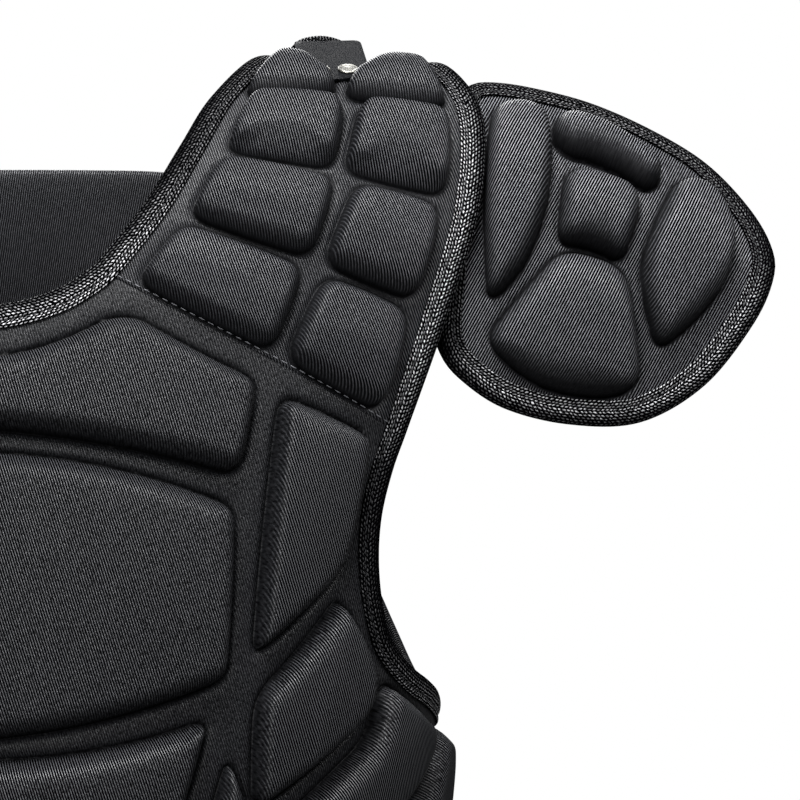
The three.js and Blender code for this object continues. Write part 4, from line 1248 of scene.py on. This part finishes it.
@dataclass
class Tape:
    """Tape folded round an edge and sewn through near its free edge."""

    shown: float = 9.5
    step: float = 3.0
    groove: float = 0.68
    cut: float = 28
    arm_shift: float = 20
    stitch_lift: float = 0.95
    ridge: int = 13
    # Share of the shown width in from the edge, reach past the edge, height over the outer face
    section: tuple[tuple[float, float, float], ...] = (
        (1, 0, 0.3), (1, 0, 0.85), (0.985, 0, 1.15), (0.95, 0, 1.38), (0.9, 0, 1.48), (0.84, 0, 1.46),
        (0.78, 0, 1.3), (0.73, 0, 0.98), (0.68, 0, 0.8), (0.63, 0, 1), (0.58, 0, 1.45), (0.5, 0, 1.78),
        (0.4, 0, 1.95), (0.28, 0, 2), (0.16, 0, 1.9), (0.05, 0, 1.65), (0, 0.55, 1.2), (0, 1.15, 0.45),
        (0, 1.55, -0.6), (0, 1.75, -1.8), (0, 1.75, -3.2), (0, 1.55, -4.4), (0, 1.15, -5.45), (0, 0.55, -6.2),
        (0.05, 0, -6.65), (0.16, 0, -6.9), (0.4, 0, -6.95), (0.6, 0, -6.7), (0.68, 0, -6.2), (0.76, 0, -6.5),
        (0.9, 0, -6.5), (1, 0, -6.1), (1, 0, -5.4), (0.5, 0, -5.3), (0.06, 0, -5.3), (0, 0.4, -4.4),
        (0, 0.4, -0.6), (0.06, 0, 0.25), (0.5, 0, 0.25),
    )

    def rows(self, face: Face, edge: Array, shade_by_height: tuple) -> tuple[Array, Array, Array, Array]:
        """Folds the tape round one edge.

        Args:
            face: The face that the edge bounds.
            edge: Pattern spots along the edge, with the face on their left.
            shade_by_height: Heights, and how much painted shade the tape gets there, or a painted highlight
                where negative. They
            hold for edges that face up or down. Where an edge faces the arm all is a little higher, and
            where it faces the neck a little lower.

        Returns:
            Sections of the tape, the places and outward directions of its stitches, and how much painted
            shade each section gets, a painted highlight where negative.
        """
        run = np.gradient(edge, axis=0)
        inward = unit(np.stack([-run[:, 1], run[:, 0]], axis=1))
        places, normals = face.stand(edge)
        reach = np.linalg.norm(face.stand(edge + inward * self.shown)[0] - places, axis=1)
        inward = inward * (self.shown**2 / reach)[:, None]
        free = face.stand(edge + inward)[0]
        out = places - free
        out = unit(out - normals * (out * normals).sum(axis=1, keepdims=True))
        rows = np.empty((len(edge), len(self.section), 3))
        for k, (share, past, height) in enumerate(self.section):
            at, up = face.stand(edge + inward * share) if share else (places, normals)
            rows[:, k] = at + up * height + out * past
        seat, up = face.stand(edge + inward * self.groove)
        # Painted shade along the tape by the height of its edge, shifted where the edge faces the arm;
        # painted highlight where the table goes below zero
        drawn_and_shade = np.interp(places[:, 2] - self.arm_shift * out[:, 0], *np.transpose(shade_by_height))
        return rows, seat + up * self.stitch_lift, up, drawn_and_shade

    def skin(self, rows: Array, drawn_and_shade: Array) -> Shell:
        """The closed skin of a length of tape."""
        shell = loft(rows, walked(rows[:, self.ridge]), walked(rows[len(rows) // 2]))
        shell.drawn_and_shade = np.repeat(drawn_and_shade, rows.shape[1])
        return shell

    def flat(self, line: Array) -> tuple[float, float]:
        """Width and length of the tape before it is folded, in metres."""
        return self.cut / 1000, float(walked(line)[-1]) / 1000


@dataclass
class Front:
    """The moulded chest panel and its outline, which the other front pieces start from."""

    face: ChestFace = ChestFace()
    hem_drop: float = 30
    # Both forms paint a highlight along walls that face up
    middle_form: PadForm = PadForm(11, top_wall=8.5, bevel=0.75, rim_highlight=1.8)
    side_form: PadForm = PadForm(11, top_wall=8.5, bevel=0.75, rim_highlight=1.8, top_ribs=0.5, wall_fade=0.35)
    # Each corner of a pad: X by girth, Z, rounding, and bow of the side that follows
    middle_pads: tuple = (
        [
            (0, -139.5, 12, -3), (103.7, -158.5, 7, 1), (111, -121, 7, -1), (57, -92.6, 13, -4),
            (0, -112.5, 12, 0),
        ],
        [(0, -263, 12, 4), (99.6, -239.6, 6, 1), (102.5, -172, 6, 5), (0, -150, 12, 0)],
        [(0, -349, 12, 3), (66, -337, 8, 1), (92.5, -256.5, 6, -4), (0, -272, 12, 0)],
        [(0, -403, 12, 2), (47, -393, 9, 1), (62, -348.5, 7, -3), (0, -361, 12, 0)],
    )
    side_pads: tuple = (
        [(112.5, -230, 6, 1), (149.5, -197, 10, 0.5), (160, -143.5, 6, 0.5), (122, -127.5, 8, 0.5)],
        [
            (112.5, -292, 7, 1), (161, -257.5, 8, 1), (166.5, -239, 7, 1), (149.5, -209, 5, -1),
            (113.5, -247, 9, 0.5),
        ],
        [
            (122, -331, 9, 1), (188, -290, 12, 2), (208, -262, 8, 1), (175, -243.5, 6, 0.5),
            (166.5, -266, 10, 0.5), (121, -301, 8, 0.5),
        ],
        [
            (128, -366, 8, 1), (240, -312, 10, 1), (243, -270, 9, 1), (222, -262, 8, 0.5),
            (199, -295, 12, 0.5), (129, -341, 8, 0.5),
        ],
        [(158, -373, 9, 0.5), (233, -371, 9, 0.5), (236, -326, 9, 0.5)],
        [(72, -372, 8, 0.5), (114, -368, 9, 0.5), (113, -306, 9, 0.5), (101.5, -272.5, 5, 0.5)],
    )

    def armhole(self, step: float) -> Array:
        """Spots of the left armhole, from the side seam up to the shoulder seam."""
        torso = self.face.torso
        start = (torso.girth_at_side(torso.side_top)[0], torso.side_top)
        knots = [
            start, (239, -252), (211, -244.5), (193, -238), (178.4, -227), (171.7, -211.7), (168.5, -193.5),
            (168.8, -175.4), (173, -157.3), (178.1, -143.6),
        ]
        return spline(knots, step)

    def neck(self, step: float) -> Array:
        """Spots of the neck edge between the two shoulder seams, from left to right."""
        half = [(45.9, -75.6), (34.1, -83.7), (19.8, -89.4)]
        return spline([*half, (0, -92.5), *[(-x, z) for x, z in half[::-1]]], step)

    def hem(self, step: float) -> Array:
        """Spots of the hem, from right to left."""
        torso = self.face.torso
        side = torso.girth_at_side(torso.side_foot)[0]
        share = np.linspace(-1, 1, 2 * round(side / step) + 1)
        drop = self.hem_drop * np.cos(share * math.pi / 2) ** 2
        return np.stack([side * share, torso.side_foot - drop], axis=1)

    def border(self, step: float = 2.5) -> tuple[Loop, Array]:
        """Draws the panel's outline.

        Args:
            step: Distance between its spots.

        Returns:
            The outline, and how far its edge lies below the outer face.
        """
        torso, shoulder = self.face.torso, ShoulderFace()
        heights = np.linspace(torso.side_foot, torso.side_top, round(132 / step) + 1)[1:-1]
        side = np.stack([torso.girth_at_side(heights), heights], axis=1)
        seam = shoulder.seam(np.linspace(1, 0, round(150 / step))[1:-1]) + [0, 0.1]
        left = [side, self.armhole(step), seam]
        lines = [self.hem(step), *left, self.neck(step), *[mirrored_line(line) for line in left[::-1]]]
        drops = [FREE_DROP, SEWN_DROP] * 4
        drop = np.concatenate([np.full(len(line), d) for line, d in zip(lines, drops)])
        return Loop(np.concatenate(lines)), drop

    def build(self, wardrobe: Wardrobe) -> None:
        """Builds and dresses the panel."""
        sides = [rounded_loop(pad) for pad in self.side_pads]
        sides += [Loop(mirrored_line(loop.spots)) for loop in sides]
        pads = [Pad(rounded_loop(whole(half)), self.middle_form) for half in self.middle_pads]
        pads += [Pad(loop, self.side_form) for loop in sides]
        border, drop = self.border()
        # The sheet between the pads gets strong painted shade
        panel = MouldedPanel(self.face, border, pads, drop, hollow=0.75)
        obj = panel.shell().piece("moulded_chest", wardrobe.chest_twill)
        settle(obj, Slot.TWILL, "chest_panel")


@dataclass
class Shoulder:
    """The two shoulder panels with their rows of pads, sewn to the chest."""

    face: ShoulderFace = ShoulderFace()
    # The forms' shade and top_shade paint the walls of the pads darker, as painted shade
    top_form: PadForm = PadForm(
        9.5, top_wall=6, foot_wall=6, crown=0.3, top_drop=0, foot_drop=0.3, crease=0.9, top_shade=0.75
    )
    second_form: PadForm = PadForm(9.5, 5.2, 3.5, 16, crown=0.1, top_drop=-0.1, crease=1.1, shade=0.1)
    low_form: PadForm = PadForm(
        10.5, 5.2, 3.5, 6, crown=0.1, top_drop=0.45, foot_drop=0.3, crease=1.1, shade=0.8
    )
    tip_row: float = 4.2
    tip_length: float = 0.75
    seam_row: float = 0.009
    seam_stitch_lift: float = 0.12
    pads: SizeTable = SizeTable(
        ("from", "to", "neck_side", "neck_mid", "arm_mid", "arm_side"),
        (
            (0.07, 0.93, 0.12, 0.53, 0.585, 0.893), (1.07, 1.92, 0.135, 0.525, 0.58, 0.886),
            (2.06, 2.93, 0.14, 0.495, 0.54, 0.882),
        ),
    )
    # The two top pads are cut away beside the tab: share and row of each corner
    top_pads: tuple = (
        [(0.105, 3.06), (0.438, 3.06), (0.434, 3.42), (0.352, 3.64), (0.242, 3.94), (0.12, 3.93)],
        [(0.497, 3.06), (0.875, 3.06), (0.87, 3.93), (0.675, 3.96), (0.562, 3.66), (0.497, 3.4)],
    )

    def edge(self, step: float) -> Array:
        """Spots of the taped edge, from the arm end of the seam over the tip to its neck end."""
        share = np.linspace(0, 1, round(190 / step) + 1)
        swell = 0.004 * np.sin(math.pi * share)
        arm = self.face.spot(1 + swell, self.seam_row + (self.tip_row - self.seam_row) * share)
        angle = np.linspace(0, math.pi, round(110 / step) + 1)[1:-1]
        tip = self.face.spot(0.5 + 0.5 * np.cos(angle), self.tip_row + self.tip_length * np.sin(angle))
        neck = (arm * [-1, 1] + [self.face.breadth, 0])[::-1]
        return np.concatenate([arm, tip, neck])

    def pad_loops(self) -> list[Loop]:
        """Outlines of the eight pads: the top pair, then the other pairs from the seam up."""
        outlines = list(self.top_pads)
        for start, end, neck_side, neck_mid, arm_mid, arm_side in self.pads.rows:
            for left, right in ((neck_side, neck_mid), (arm_mid, arm_side)):
                outlines.append([(left, start), (right, start), (right - 0.01, end), (left + 0.01, end)])
        spots = [[self.face.spot(*corner) for corner in outline] for outline in outlines]
        return [rounded_loop([(x, z, 6.5, 0.7) for x, z in corners], 2.0) for corners in spots]

    def build(self, wardrobe: Wardrobe) -> None:
        """Builds and dresses both panels and their seams."""
        edge = self.edge(2.5)
        foot = self.face.spot(np.linspace(0, 1, 60)[1:-1], -0.003)
        border = Loop(np.concatenate([foot, edge]))
        drop = np.concatenate([np.full(len(foot), SEWN_DROP), np.full(len(edge), FREE_DROP)])
        pairs = (self.top_form, self.low_form, self.low_form, self.second_form)
        forms = [form for form in pairs for _ in self.top_pads]
        pads = [Pad(loop, form) for loop, form in zip(self.pad_loops(), forms)]
        panel = MouldedPanel(self.face, border, pads, drop, base_step=4, pad_step=2.6)
        skin = panel.shell()
        line = self.face.spot(np.linspace(0.04, 0.96, 60), 0.03)
        places, normals = self.face.stand(line)
        rows = []
        for side in Side:
            name = side.name.lower()
            obj = skin.on(side).piece(f"padded_shoulder_{name}", wardrobe.shoulder_twill)
            settle(obj, Slot.TWILL, f"shoulder_panel_{name}")
            flip = np.array([side.value, 1, 1])
            rows.append(((places + normals * self.seam_stitch_lift) * flip, normals * flip))
        seam = wardrobe.stitches.sew("seam_stitches", rows, SEAM_STITCH, wardrobe.seam_thread)
        settle(seam, Slot.BRAID)


@dataclass
class Caps:
    """The two shoulder caps with their pads."""

    face: CapFace = CapFace()
    tuck: float = 9
    # Its shade paints the pads' lower walls dark, as painted shade
    form: PadForm = PadForm(12.5, top_wall=6, crown=0.3, top_drop=0.3, foot_drop=0.25, crease=1.3, shade=1.6)
    outline: tuple = (
        (190.5, -6), (197.5, 0.6), (206, 2), (222, 0), (247, -6.3), (271.8, -17.3), (294.4, -31.6),
        (311.6, -50.6), (320.3, -67.3), (320, -80), (311.5, -97.8), (292, -122), (266.1, -136.8),
        (237.3, -137.6), (210.8, -131), (193.2, -119.2), (185.5, -109), (183.5, -98), (185.5, -75),
        (188, -45), (188.5, -20),
    )
    # Each corner of a pad: X, Z, rounding, and bow of the side that follows
    pads: tuple = (
        [
            (204.5, -88.5, 6, 2), (224, -62, 14, 1.5), (229.5, -22, 10, 1), (225, -9, 7, 1),
            (207, -8.5, 7, 0.5), (203, -45, 14, 0.3),
        ],
        [
            (234, -28, 8, -3), (270, -43.5, 6, 0.5), (276, -34.5, 7, 1), (246, -14, 12, 0.3),
            (231.5, -13, 7, 0.5),
        ],
        [(233, -65, 6, -2), (258, -72.3, 5, 0.5), (267, -44.5, 9, 1.5), (236.5, -34.5, 8, 0.5)],
        [
            (273.5, -108, 6, 3), (305.5, -72, 14, 1.5), (297.5, -43.5, 9, 0.5), (283, -38, 8, 1),
            (266, -75, 12, 0.5),
        ],
        [
            (203.5, -104, 7, 4), (241, -128, 14, 1), (265, -124, 9, 1), (259.5, -77, 8, 1.5),
            (233.5, -69, 7, 0.5),
        ],
    )
    foot_walls: tuple[float, ...] = (17, 9, 12, 17, 17)
    # Painted shade of the cap's tape by height: dark along the top, with a painted highlight low down
    shade_by_height: tuple = ((-130, -0.4), (-112, -0.1), (-92, 0.8), (0, 0.7))

    def border(self, step: float) -> Loop:
        """The cap's outline."""
        return Loop(spline(np.array(self.outline)[::-1], step, closed=True))

    def taped(self, step: float) -> Array:
        """Spots of the stretch that the tape covers, out from under the shoulder's arm edge."""
        spots = self.border(step).spots
        arm_edge = SHOULDER_ROWS.read(np.minimum(spots[:, 1], 6), "arm_z")["arm_x"]
        shown = spots[:, 0] > arm_edge - self.tuck
        first = int(np.flatnonzero(shown & ~np.roll(shown, 1))[0])
        return np.roll(spots, -first, axis=0)[: int(shown.sum())]

    def build(self, wardrobe: Wardrobe) -> None:
        """Builds and dresses both caps with their tape."""
        pads = [
            Pad(rounded_loop(pad, 2.0, 1.2), replace(self.form, foot_wall=foot))
            for pad, foot in zip(self.pads, self.foot_walls)
        ]
        skin = MouldedPanel(self.face, self.border(2.5), pads, base_step=4, pad_step=2.8, hollow=0.15).shell()
        tape = Tape()
        rows, seats, ups, drawn_and_shade = tape.rows(self.face, self.taped(tape.step), self.shade_by_height)
        band = tape.skin(rows, drawn_and_shade)
        lines = []
        for side in Side:
            name = side.name.lower()
            obj = skin.on(side).piece(f"padded_cap_{name}", wardrobe.brightened_cap_twill)
            settle(obj, Slot.TWILL, f"shoulder_cap_{name}")
            trim = band.on(side).piece(f"cap_tape_{name}", wardrobe.tape)
            settle(trim, Slot.BRAID, f"cap_binding_{name}")
            flip = np.array([side.value, 1, 1])
            lines.append((seats * flip, ups * flip))
        sewn = wardrobe.stitches.sew("cap_tape_stitches", lines, TAPE_STITCH, wardrobe.tape_thread)
        settle(sewn, Slot.BRAID)


@dataclass
class EdgeTape:
    """The tape round the neck, the shoulders and the armholes, and the tape of the hem."""

    tape: Tape = field(default_factory=Tape)
    # Painted shade of the tape by height: dark round the lower armhole and over the shoulder tops, with a
    # painted highlight between
    shade_by_height: tuple = ((-260, -0.2), (-235, 0.88), (-172, 0.88), (-135, -0.35), (-52, -0.35), (-16, 0.72))

    def build(self, wardrobe: Wardrobe) -> None:
        """Builds and dresses the tapes and their stitches."""
        front, shoulder = Front(), Shoulder()
        step = self.tape.step
        arm = self.tape.rows(front.face, front.armhole(step), self.shade_by_height)
        top = [part[1:-1] for part in self.tape.rows(shoulder.face, shoulder.edge(step), self.shade_by_height)]
        neck = self.tape.rows(front.face, front.neck(step), self.shade_by_height)
        flips = [np.array([-1, 1, 1])] * 3 + [1]
        whole_edge = [
            np.concatenate([a, t, n, (t * flip)[::-1], (a * flip)[::-1]])
            for a, t, n, flip in zip(arm, top, neck, flips)
        ]
        hem = self.tape.rows(front.face, front.hem(step), self.shade_by_height)
        pieces = (("edge_tape", whole_edge, "edge_binding"), ("hem_tape", hem, "hem_binding"))
        for name, (rows, seats, ups, drawn_and_shade), node in pieces:
            band = self.tape.skin(rows, drawn_and_shade).piece(name, wardrobe.tape)
            settle(band, Slot.BRAID, node)
            self.tape.flat(seats)
            lines = [(seats, ups)]
            sewn = wardrobe.stitches.sew(f"{name}_stitches", lines, TAPE_STITCH, wardrobe.tape_thread)
            settle(sewn, Slot.BRAID)


@dataclass
class Back:
    """The plain back panel."""

    face: BackFace = BackFace()
    gap: float = 0.05
    hem_drop: float = 4
    outline: tuple = (
        (189, -236), (145, -190), (112, -130), (92, -85), (78, -54), (62, -37), (44, -31), (20, -29.6),
    )

    def build(self, wardrobe: Wardrobe) -> None:
        """Builds and dresses the panel."""
        torso = self.face.torso
        side = (math.pi - torso.side_turn) * self.face.radius - self.gap
        knots = [(side, torso.side_top), *self.outline]
        top = spline([*knots, *[(-x, z) for x, z in knots[::-1]]], 3.0)
        share = np.linspace(-1, 1, 120)[:-1]
        drop = self.hem_drop * np.cos(share * math.pi / 2)
        hem = np.stack([side * share, torso.side_foot - drop], axis=1)
        heights = np.linspace(torso.side_foot, torso.side_top, 44)[:-1]
        edge = np.stack([np.full(len(heights), side), heights], axis=1)
        lines = [hem, edge, top, mirrored_line(edge)[:-1]]
        drops = [FREE_DROP, SEWN_DROP] * 2
        drop = np.concatenate([np.full(len(line), d) for line, d in zip(lines, drops)])
        panel = MouldedPanel(self.face, Loop(np.concatenate(lines)), [], drop, base_step=7, hollow=0.2)
        obj = panel.shell().piece("plain_back", wardrobe.back_twill)
        settle(obj, Slot.TWILL, "back_panel")


@dataclass
class Crest:
    """What sits on top of each shoulder: the tab, its rivets, and the strap to the back."""

    tip: tuple[float, float, float] = (142.8, -25.5, 1.9)
    top: tuple[float, float, float] = (137.6, 9.5, 19.5)
    roll: float = 0.03
    tab_thick: float = 1.2
    # Way up from the tip, and half the width
    tab: tuple = (
        (0, 0.8), (0.3, 2.6), (0.9, 4.7), (2.1, 7.6), (4, 10.2), (6.5, 12.1), (10, 13.3), (15, 13.9),
        (20, 14), (30, 14), (36, 14), (38.2, 13.7), (39.3, 12.9), (39.9, 11.6),
    )
    strap_thick: float = 1.8
    strap_half: float = 13
    strap_cut: float = 27
    # Places of the strap's middle, its roll, and its bow across
    strap: tuple = (
        (138, -2, 10.6, 0.06, 0), (137.6, 4, 13.4, 0.09, 0.3), (137.2, 9, 15.2, 0.12, 1.4),
        (136.8, 12.6, 16.8, 0.14, 3.4), (136.6, 16.4, 17.4, 0.14, 4), (136.3, 22, 17, 0.13, 3.4),
        (134, 30, 15.3, 0.1, 2.2), (130, 41, 12.9, 0.08, 1), (120, 62.5, 7.8, 0.05, 0.3),
        (110, 80.5, -3, 0.03, 0), (103, 90, -20, 0, 0),
    )
    strap_seats: tuple = ((61, -44), (58, -58), (56, -72))
    rivets: tuple = (135.2, 146.6)
    rivet_way: float = 9
    # Radius and height of the rivet's skin, from its foot to its middle
    rivet_profile: tuple = (
        (4.2, 0), (4.35, 0.2), (4.35, 0.5), (4.2, 0.8), (3.9, 0.98), (3.5, 1), (3.2, 0.9), (2.9, 0.78),
        (2.2, 0.86), (1.3, 0.98), (0.4, 1.05),
    )

    def axes(self) -> tuple[Array, Array, Array]:
        """Directions of the tab: across, from tip to top, and off its face."""
        run = unit(np.subtract(self.top, self.tip))
        side = np.array([math.cos(self.roll), 0, -math.sin(self.roll)])
        side = unit(side - run * (side @ run))
        return side, run, np.cross(side, run)

    def tab_skin(self) -> Shell:
        """The tab, a straight plate that rises off the shoulder toward the back."""
        side, run, _ = self.axes()
        rows = spline(self.tab, 0.6)
        centres = np.array(self.tip) + rows[:, :1] * run
        return slim_ribbon(centres, np.tile(side, (len(rows), 1)), rows[:, 1], self.tab_thick, 0.25)

    def strap_skin(self) -> Shell:
        """The strap, from under the tab over its top edge to its seat on the back panel."""
        free = np.array(self.strap)
        sides = np.stack([np.cos(free[:, 3]), 0 * free[:, 3], -np.sin(free[:, 3])], axis=1)
        seats, normals = BackFace().stand(np.array([(-girth, z) for girth, z in self.strap_seats]))
        path = np.concatenate([free[:, :3], seats + normals])
        seat_sides = np.cross(unit(np.gradient(path, axis=0))[-len(seats) :], normals)
        bows = np.concatenate([free[:, 4], np.zeros(len(seats))])[:, None]
        line = spline(np.concatenate([path, np.concatenate([sides, unit(seat_sides)]), bows], axis=1), 2.5)
        halves = np.full(len(line), self.strap_half)
        return slim_ribbon(line[:, :3], line[:, 3:6], halves, self.strap_thick, 0.7, line[:, 6])

    def rivet_skin(self, across: float) -> Shell:
        """One flat rivet with a raised rim, at X across."""
        side, run, up = self.axes()
        turn = np.linspace(0, math.tau, 48, endpoint=False)
        centre = np.array(self.tip) + run * self.rivet_way + up * self.tab_thick
        centre = centre + side * (across - centre[0]) / side[0]
        disc = np.outer(np.cos(turn), side) + np.outer(np.sin(turn), run)
        rows = np.array([centre + up * height + radius * disc for radius, height in self.rivet_profile])
        return loft(rows, np.arange(len(rows), dtype=float), turn)

    def build(self, wardrobe: Wardrobe) -> None:
        """Builds and dresses the tabs, straps and rivets of both sides."""
        tab, strap = self.tab_skin(), self.strap_skin()
        for side in Side:
            name = side.name.lower()
            plate = tab.on(side).piece(f"crest_tab_{name}", wardrobe.leatherette)
            settle(plate, Slot.LEATHERETTE, f"shoulder_tab_{name}")
            web = strap.on(side).piece(f"crest_strap_{name}", wardrobe.webbing)
            settle(web, Slot.BRAID, f"back_strap_{name}")
            for i, across in enumerate(self.rivets, 1):
                cap = self.rivet_skin(across).on(side).piece(f"rivet_{name}_{i}", wardrobe.nickel)
                settle(cap, Slot.NICKEL, f"tab_rivet_{name}_{i}")


# Studio


@dataclass
class Studio:
    """A pale floor, soft light and the camera."""

    eye: tuple[float, float, float] = (0.168, -2.4, -0.129)
    lens: float = 260
    floor_height: float = -0.9
    floor_half: float = 6
    body: tuple[float, float, float] = (0.12, -0.05, -0.15)
    cap: tuple[float, float, float] = (0.25, 0, -0.07)
    # Name, place, goal, size and power of each soft box
    lamps: tuple = (
        ("key_box", (-0.15, -1.0, 1.7), body, (1.0, 0.7), 54),
        ("top_box", (0.3, 0.0, 1.5), body, (1.2, 0.8), 16),
        ("rim_box", (1.5, 0.35, 0.3), body, (0.4, 1.4), 2.5),
        ("front_box", (-0.7, -2.8, 0.2), body, (1.6, 1.2), 38),
        ("cap_box", (0.85, -0.55, 0.5), cap, (0.35, 0.35), 4.5),
        ("back_box", (-0.3, 2.2, 1.2), body, (1.4, 0.9), 45),
    )

    def lamp(self, name: str, place: Vector, goal: Vector, size: tuple[float, float], watts: float) -> None:
        """Hangs a soft box.

        Args:
            name: Name of the lamp.
            place: Where it hangs.
            goal: What it is turned to.
            size: Its width and height in metres.
            watts: Its power.
        """
        data = bpy.data.lights.new(name, "AREA")
        data.shape = "RECTANGLE"
        data.size, data.size_y = size
        data.energy = watts
        obj = bpy.data.objects.new(name, data)
        obj.location = place
        obj.rotation_euler = (goal - place).to_track_quat("-Z", "Y").to_euler()
        bpy.context.scene.collection.objects.link(obj)

    def camera(self) -> None:
        """Sets up the camera, which looks along +Y."""
        data = bpy.data.cameras.new("camera")
        data.lens = self.lens
        data.clip_end = 100
        obj = bpy.data.objects.new("camera", data)
        obj.location = self.eye
        obj.rotation_euler = (math.pi / 2, 0, 0)
        bpy.context.scene.collection.objects.link(obj)
        bpy.context.scene.camera = obj

    def sky(self) -> None:
        """Makes the world white to the eye and a faint light to the shirt."""
        world = bpy.data.worlds.new("studio")
        world.use_nodes = True
        tree = world.node_tree
        tree.nodes.clear()
        seen = add_node(tree, "ShaderNodeLightPath")["Is Camera Ray"]
        soft = add_node(tree, "ShaderNodeBackground", {"Color": (1, 1, 1, 1), "Strength": 0.06})[0]
        white = add_node(tree, "ShaderNodeBackground", {"Color": (1, 1, 1, 1), "Strength": 1.0})[0]
        both = add_node(tree, "ShaderNodeMixShader", (seen, soft, white))[0]
        add_node(tree, "ShaderNodeOutputWorld", {"Surface": both})
        bpy.context.scene.world = world

    def floor(self) -> None:
        """Lays the floor, which is pale to the eye but throws little light back up."""
        paint, tree, shader = blank("pale_floor")
        direct = add_node(tree, "ShaderNodeLightPath")["Is Camera Ray"]
        tones = {"Factor": direct, 6: linear("606060"), 7: linear("ececec")}
        tone = add_node(tree, "ShaderNodeMix", tones, data_type="RGBA")[2]
        glow = add_node(tree, "ShaderNodeMath", (direct, 0.5), operation="MULTIPLY")[0]
        feed(shader, {"Base Color": tone, "Roughness": 0.8})
        feed(shader, {"Emission Color": (1, 1, 1, 1), "Emission Strength": glow})
        far, height = self.floor_half, self.floor_height
        corners = [(-far, -far, height), (far, -far, height), (far, far, height), (-far, far, height)]
        mesh = bpy.data.meshes.new("floor")
        mesh.from_pydata(corners, [], [(0, 1, 2, 3)])
        mesh.materials.append(paint)
        obj = bpy.data.objects.new("floor", mesh)
        bpy.context.scene.collection.objects.link(obj)

    def build(self) -> None:
        """Sets up camera, lamps, world and floor."""
        bpy.context.scene.view_settings.view_transform = "Standard"
        self.camera()
        for name, place, goal, size, watts in self.lamps:
            self.lamp(name, Vector(place), Vector(goal), size, watts)
        self.sky()
        self.floor()


def main() -> None:
    """Builds the shirt piece by piece and the studio round it."""
    logging.basicConfig(level=logging.INFO, format="%(name)s: %(message)s")
    Studio().build()
    wardrobe = Wardrobe()
    for part in (Front(), Shoulder(), Caps(), EdgeTape(), Back(), Crest()):
        part.build(wardrobe)
        LOG.info("%s built", type(part).__name__)


if __name__ == "__main__":
    main()
